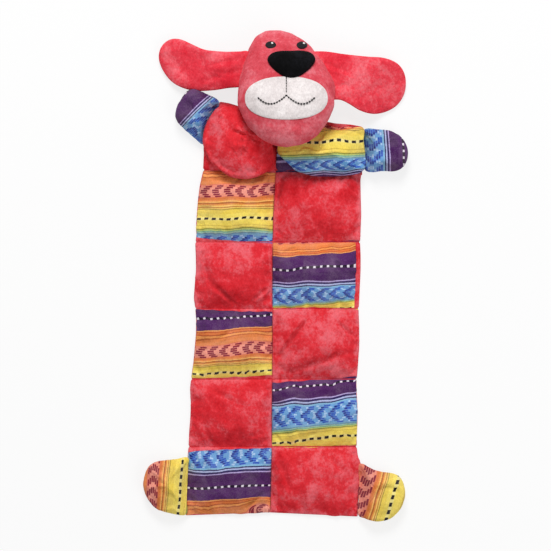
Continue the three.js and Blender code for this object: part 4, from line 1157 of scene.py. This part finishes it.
def chest_print(points, middle):
    """The print over the right chest pocket and the flat margin at its foot."""
    x, y, z = points.T
    west, east = [spot(column, 0)[0] for column in CHEST_PRINT_COLUMNS]
    # Below its waist the bulge's cloth turns under, and the print goes on
    outward = np.clip((y - middle[1]) / 12, -1, 1)
    below = np.clip(CHEST_WAIST - z, 0, None)
    printed = print_place(("right", 0), x, y + 1.15 * outward * below, west, east)
    # Past the bulge's foot it goes on over the flat margin
    row = picture_row(y)
    margin = (z < CLOTH_Z + MARGIN_HEIGHT) & (row > MARGIN_ROW) & (x < spot(MARGIN_COLUMN, 0)[0])
    flat = MARGIN_PRINT + (row - MARGIN_PRINT_ROW) * MARGIN_STEP + MARGIN_LEAN * (x - west)
    printed[:, 1] = np.where(margin, np.clip(flat, *MARGIN_LIMITS), printed[:, 1])
    return {"print_mm": printed}


def chest_pocket(side, sewn, bulge, folds, middle, material, slot, seed):
    turn = around(CHEST_SIDES)
    sewn, bulge = reach(sewn, middle, turn), reach(bulge, middle, turn)

    def ring(radius, z):
        return np.column_stack([*(middle[:, None] + radius * [np.cos(turn), np.sin(turn)]), z + 0 * turn])

    shelf = 0.985 * np.minimum(sewn, bulge)
    rings = [ring(sewn, CLOTH_Z + 0.35), ring((sewn + shelf) / 2, CLOTH_Z + 1.6), ring(shelf, CHEST_FOOT)]
    for k in np.linspace(0.12, 0.92, 5):
        radius = shelf + (bulge - shelf) * math.sin(k * math.pi / 2) ** 0.8
        rings.append(ring(radius, CHEST_FOOT + (CHEST_WAIST - CHEST_FOOT) * k))
    for a in np.radians(np.concatenate([np.linspace(0, 60, 15), np.linspace(63, 86, 15)])):
        z = CHEST_WAIST + (CHEST_CROWN - CHEST_WAIST) * math.sin(a) ** 0.96
        rings.append(ring(bulge * math.cos(a) ** 0.86, z))
    loose = (len(rings) - 2) * CHEST_SIDES
    rings = rings[::-1] + [ring(sewn * share, CHEST_SOLE) for share in (0.995, 0.8, 0.5, 0.2)]
    points, faces = ring_mesh(rings, [*middle, CHEST_CROWN], [*middle, CHEST_SOLE])
    rest_chin(points, 1.6)
    held = np.setdiff1d(np.arange(loose, len(points)), [len(points) - 2])
    points = swell(points, faces, held, cap=4.5, frames=20, ease=0.03, pressure=2.0, bending=6.0, seed=5)
    x, y, z = points.T
    lumps = 0.9 * waves(x, y, 38, seed) + sum(crease(x, y, *fold) for fold in folds)
    points[:, 2] = np.maximum(z + lumps * smooth((z - CLOTH_Z - 2) / 8), CLOTH_Z - 0.2)
    rest_chin(points, 0.9)
    attributes = chest_print(points, middle) if side == "right" else {}
    piece = make_mesh(f"chest_pocket_{side}", points, turned(faces), material, attributes)
    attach(piece, "row1")
    dress([f"front_patch_row1_{side}", f"chest_stuffing_{side}"])
    squeeze(piece)


for side in SIDES:
    chest_pocket(side, **CHEST[side])


def hinge(child, middle):
    """A joint's place and direction, and the direction square to it towards the piece's middle."""
    joint = next(j for j in frame["joints"] if j["child"] == child)
    root, axis = np.array(joint["pos_m"]) / MM, np.array(joint["axis"][:2])
    out = np.array([-axis[1], axis[0]])
    return root, axis, out * np.sign(out @ (middle - root[:2]))


# Paws and feet: outline, the body each is sewn to, its heights, and its print: how far out from its root each
# distance along the print lies, in millimetres, and how far the bands lean
LIMBS = {
    "paw_left": dict(
        outline=[
            (219, 101.4), (208, 94.8), (196, 89.9), (189, 90.8), (184, 95.6), (179.6, 103), (176.2, 111),
            (175.6, 117.4), (179, 123.6), (186, 130.6), (194, 137.6), (203, 144.6), (207.4, 135),
            (212.4, 121), (217.6, 109)],
        body="row1", top=28.0, rim=11.0,
        print_marks=[(0, 111), (22, 133), (29, 142), (50, 155.5), (60, 170)], lean=-0.45),
    "paw_right": dict(
        outline=[
            (364.4, 129.6), (378, 129.4), (391, 131.4), (400.6, 137.4), (406.4, 147), (407.2, 157),
            (403.6, 166), (396, 171), (383, 171.6), (366, 171.2), (363.6, 158), (363.4, 143)],
        body="row1", top=28.0, rim=11.0,
        print_marks=[(0, 112), (26, 133), (33.5, 142), (47, 155), (60, 170)], lean=0.05),
    "foot_left": dict(
        outline=[
            (188.4, 457.4), (176, 458.6), (160, 460.6), (151, 464.4), (145.8, 473), (143.9, 483),
            (145.4, 492), (150, 501), (158, 508.8), (170, 512.8), (186.2, 514.4), (187, 500), (187.8, 484),
            (188.4, 468)],
        body="row6", top=26.0, rim=10.0,
        print_marks=[(-3, 101), (6.8, 89), (22, 78), (34, 64.5), (50, 47)], lean=-0.03),
    "foot_right": dict(
        outline=[
            (359.4, 463.4), (376, 469.8), (394, 473.4), (401, 479), (404.4, 490), (403.2, 501), (398, 511),
            (389, 518.4), (377, 520.6), (366, 518.4), (358, 514.4), (358.4, 498), (358.8, 480)],
        body="row6", top=26.0, rim=10.0,
        print_marks=[(-3, 48.5), (16, 64.5), (31, 78), (43, 89), (58, 97)], lean=-0.31),
}
LIMB_SIDES = 96
LIMB_TOP_RINGS = 15
LIMB_SOLE = 0.5
LIMB_ROOT_RIM, LIMB_ROOT_FULLNESS = 0.55, 0.42  # how high and full a limb is at its root, as shares
LIMB_BEND = 11.0


def limb(name, outline, body, top, rim, print_marks, lean):
    outline = closed_curve(spots(outline), LIMB_SIDES)
    middle = outline.mean(0)
    root, axis, out = hinge(name, middle)
    rings = [level_ring(outline, middle, math.cos(a) ** 0.8, rim + (top - rim) * math.sin(a) ** 0.95)
             for a in np.radians(np.linspace(84, 0, LIMB_TOP_RINGS))]
    rings += [level_ring(outline, middle, math.cos(a) ** 0.6, rim - (rim - LIMB_SOLE) * math.sin(a) ** 0.6)
              for a in np.radians(np.linspace(9, 84, 9))]
    points, faces = ring_mesh(rings, [*middle, top], [*middle, LIMB_SOLE])
    widest = np.arange((LIMB_TOP_RINGS - 1) * LIMB_SIDES, LIMB_TOP_RINGS * LIMB_SIDES)
    points = swell(points, faces, widest, cap=3.0, frames=18, ease=0.035, pressure=1.5, bending=4.0, seed=9)
    x, y, z = points.T
    across, outward = (points[:, :2] - root[:2]) @ axis, (points[:, :2] - root[:2]) @ out
    # Towards its seam the limb flattens
    full = smooth((outward + 2.0) / 17.0)
    level = LIMB_ROOT_RIM + (1 - LIMB_ROOT_RIM) * full
    z = rim * level + (z - rim) * (LIMB_ROOT_FULLNESS + (1 - LIMB_ROOT_FULLNESS) * full)
    z = np.clip(z + 0.5 * waves(x, y, 22, 91) * smooth(z / 14), 0.35, top + 1.2)
    steps, marks = zip(*print_marks)
    tip = smooth((outward - 0.7 * outward.max()) / 8)
    seen = outward + 0.9 * np.clip(rim - z, 0, None) * tip + lean * across
    slope = min((marks[-1] - marks[-2]) / (steps[-1] - steps[-2]), 0.3)
    along = np.interp(seen, steps, marks) + slope * np.maximum(seen - steps[-1], 0)
    piece = make_mesh(name + "_stuffed", net(x, y, z), turned(faces), PRINT,
                      {"print_mm": net(across + 40, along, 0)})
    bend(piece, body, name, [*(root[:2] - out), HINGE_Z], [*(root[:2] + out * LIMB_BEND), HINGE_Z])
    dress([name])


for name, facts in LIMBS.items():
    limb(name, **facts)

# Ears: outline and folds, as for the chest
EARS = {
    "left": dict(
        outline=[
            (249, 52.4), (240, 52.2), (226, 52.3), (213, 51.4), (203, 49.6), (191.6, 44.4), (180, 39.4),
            (169.6, 39.8), (161.6, 46.4), (158.6, 57), (162, 69), (170.6, 81), (182, 88), (196, 91.4),
            (213, 91), (228, 89), (246, 86.6), (250, 76), (251, 64)],
        folds=[
            ((204, 82), (241, 71), 2.6, 2.6), ((212, 66), (238, 60), 3.0, 1.5),
            ((172, 60), (190, 78), 5.0, 1.4)],
        seed=20),
    "right": dict(
        outline=[
            (308, 54), (320, 52.2), (330, 52.8), (343, 54.7), (366, 57), (384, 58.4), (398, 64.4),
            (405.2, 76), (405, 92), (397.6, 105), (386, 112), (373, 114.4), (360, 111.4), (349, 105),
            (340, 100.8), (329, 100.6), (322, 97), (318, 84), (315, 66)],
        folds=[
            ((322, 64), (350, 74), 3.0, 2.2), ((360, 98), (386, 84), 5.0, 1.4),
            ((330, 86), (350, 88), 3.0, 1.6)],
        seed=22),
}
EAR_SIDES = 110
EAR_HALF_THICKNESS = 3.5
EAR_DROOP = math.tan(math.radians(11))
EAR_WAVE, EAR_CURL = 1.6, 0.003
EAR_BEND = 14.0
EAR_PROFILE = [(0.05, 1), (0.16, 1), (0.28, 0.99), (0.4, 0.97), (0.52, 0.94), (0.63, 0.9), (0.73, 0.85),
               (0.82, 0.78), (0.89, 0.68), (0.945, 0.52), (0.98, 0.3), (0.997, 0.08)]


def ear(side, outline, folds, seed):
    outline = closed_curve(spots(outline), EAR_SIDES)
    middle = outline.mean(0)
    root, axis, out = hinge(f"ear_{side}", middle)
    profile = EAR_PROFILE + [(share, -rise) for share, rise in EAR_PROFILE[::-1]]
    rings = [level_ring(outline, middle, share, EAR_HALF_THICKNESS * rise) for share, rise in profile]
    points, faces = ring_mesh(rings, [*middle, EAR_HALF_THICKNESS], [*middle, -EAR_HALF_THICKNESS])
    x, y, z = points.T
    across, outward = (points[:, :2] - root[:2]) @ axis, (points[:, :2] - root[:2]) @ out
    lie = EAR_WAVE * waves(x, y, 62, seed) * smooth(outward / 30) - EAR_DROOP * np.clip(outward, -12, None)
    lumps = 0.45 * waves(x, y, 20, seed + 10) * np.sign(z) + sum(crease(x, y, *fold) for fold in folds)
    curl = EAR_CURL * across ** 2 * smooth(outward / 40)
    z = root[2] + z + lie + lumps - curl
    z = np.maximum(z, 0.6 + 0.5 * (z > 3))
    piece = make_mesh(f"ear_{side}_soft", net(x, y, z), turned(faces), CORAL_EAR)
    bend(piece, "head", f"ear_{side}", [*(root[:2] - out), root[2]], [*(root[:2] + out * EAR_BEND), root[2]])
    dress([f"ear_front_{side}", f"ear_back_{side}"])


for side in SIDES:
    ear(side, **EARS[side])

# Neck
NECK_WIDTH, NECK_TAPER, NECK_LENGTH = 46, 6, 33
neck_y = next(j for j in frame["joints"] if j["name"] == "neck_nod")["pos_m"][1] / MM
u, v = np.meshgrid(np.linspace(0, 1, 30), np.linspace(0, 1, 26))
x, y = FACE_X + (u - 0.5) * (NECK_WIDTH - NECK_TAPER * v), neck_y - 9 + NECK_LENGTH * v
roof = head_back_z(x, y) - 0.2
climb = HINGE_Z - 0.9 + smooth((v - 0.25) / 0.75) * 1.2
thick = 2.0 * np.sqrt(np.clip(1 - (2 * u - 1) ** 6, 0.02, 1))
over = np.minimum(climb + thick + 0.3 * waves(x, y, 12, 55), np.maximum(roof, climb + 0.3))
under = np.maximum(climb - 0.8 + 0.25 * waves(x, y, 14, 56), 0.15)
piece = slab("neck_cloth", net(x, y, over), net(x, y, under), CORAL_HEAD)
bend(piece, "row1", "head", (0, neck_y - 4, HINGE_Z), (0, neck_y + 8, HINGE_Z))
dress(["neck"])

# Squeakers: a ribbed hollow bulb with a mouth on top, as shares of its radius and height
BULB = [(0.45, 0.0), (0.74, 0.0), (0.9, 0.06), (0.985, 0.22), (1.0, 0.4), (0.99, 0.58), (0.93, 0.76),
        (0.82, 0.9), (0.7, 0.955), (0.5, 0.985), (0.36, 1.0), (0.25, 1.0), (0.225, 0.97), (0.22, 0.9)]
BULB_WALL, BULB_ROOF = 0.05, 0.1
BULB_RIBS, BULB_RIB_SHARE = 12, 0.006
BULB_INSIDE = [(max(r - BULB_WALL, 0.2), h - BULB_ROOF if h > 0.5 else h + BULB_ROOF) for r, h in BULB[:-2]]
turn = around(48)
for row in range(ROWS):
    for side in SIDES:
        node = f"squeaker_bulb_row{row + 1}_{side}"
        low, high = [np.array(corner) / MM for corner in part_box(node)]
        middle, radius, height = ((low + high) / 2)[:2], (high[0] - low[0]) / 2, high[2] - low[2]
        rings = []
        for r, h in BULB + BULB_INSIDE[::-1]:
            rib = 1 + (BULB_RIB_SHARE * np.cos(BULB_RIBS * turn) if 0.1 < h < 0.9 else 0 * turn)
            x, y = middle[:, None] + radius * r * rib * [np.cos(turn), np.sin(turn)]
            rings.append(np.column_stack([x, y, low[2] + height * h + 0 * turn]))
        points, faces = ring_mesh(rings, [*middle, low[2] + 0.02], [*middle, low[2] + 1.0])
        piece = make_mesh(f"bulb_row{row + 1}_{side}", points, faces, BULB_PLASTIC, subdivide=0)
        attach(piece, f"row{row + 1}")
        dress([node])
        squeeze(piece)
        reed = frame["nodes"][f"squeaker_reed_row{row + 1}_{side}"]
        reed.data.materials.clear()
        reed.data.materials.append(REED_PLASTIC)

# Floor
FLOOR_REACH = 40.0
FLOOR_GLOW = 0.78
corners = np.array([(-1, -1, 0), (1, -1, 0), (1, 1, 0), (-1, 1, 0)]) * FLOOR_REACH
floor = link("floor", bare_mesh("floor", corners, [(0, 1, 2, 3)]))
material, n, shader = new_material("Pale floor")
n.feed(shader, {"Base Color": (0.9, 0.9, 0.9, 1), "Roughness": 0.9})
path = n.new("ShaderNodeLightPath").outputs
seen = n.math("MAXIMUM", path["Is Camera Ray"],
              n.math("MAXIMUM", path["Is Glossy Ray"], path["Is Transmission Ray"]))
glow = n.new("ShaderNodeEmission", {"Strength": 1.0, "Color": (1, 1, 1, 1)})
both = n.new("ShaderNodeMixShader", {0: n.times(seen, FLOOR_GLOW), 1: shader.outputs[0], 2: glow.outputs[0]})
n.feed(n.tree.nodes["Material Output"], {"Surface": both.outputs[0]})
floor.data.materials.append(material)
floor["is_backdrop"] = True

# Light
WORLD_LIGHT = 0.36
world = bpy.data.worlds.new("Studio")
bpy.context.scene.world = world
world.use_nodes = True
n = Nodes(world.node_tree)
strength = n.math("MAXIMUM", n.new("ShaderNodeLightPath").outputs["Is Camera Ray"], WORLD_LIGHT)
n.feed(n.tree.nodes["Background"], {"Color": (1, 1, 1, 1), "Strength": strength})


def area_light(name, place, size, power):
    """A round soft light that faces the middle of the toy."""
    lamp = bpy.data.lights.new(name, "AREA")
    lamp.shape = "DISK"
    lamp.size = size
    lamp.energy = power
    thing = link(name, lamp)
    thing.location = place
    thing.rotation_mode = "QUATERNION"
    thing.rotation_quaternion = (-Vector(place)).to_track_quat("-Z", "Y")
    thing.visible_camera = False


area_light("Key", place=(-0.2, 2.3, 2.2), size=1.3, power=76)
area_light("Fill", place=(1.7, -1.6, 2.0), size=2.0, power=24)

# Camera, straight above the middle of the picture
CAMERA_HEIGHT = 6.0
SENSOR = 36.0
camera_data = bpy.data.cameras.new("Camera")
camera_data.sensor_width = SENSOR
camera_data.lens = SENSOR * CAMERA_HEIGHT / (PICTURE_SIZE * PIXEL * MM)
camera_data.clip_end = 100
camera = link("Camera", camera_data)
camera.location = (*(spot(PICTURE_SIZE / 2, PICTURE_SIZE / 2) * MM), CAMERA_HEIGHT)
bpy.context.scene.camera = camera
bpy.context.scene.view_settings.view_transform = "Standard"

low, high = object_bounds()
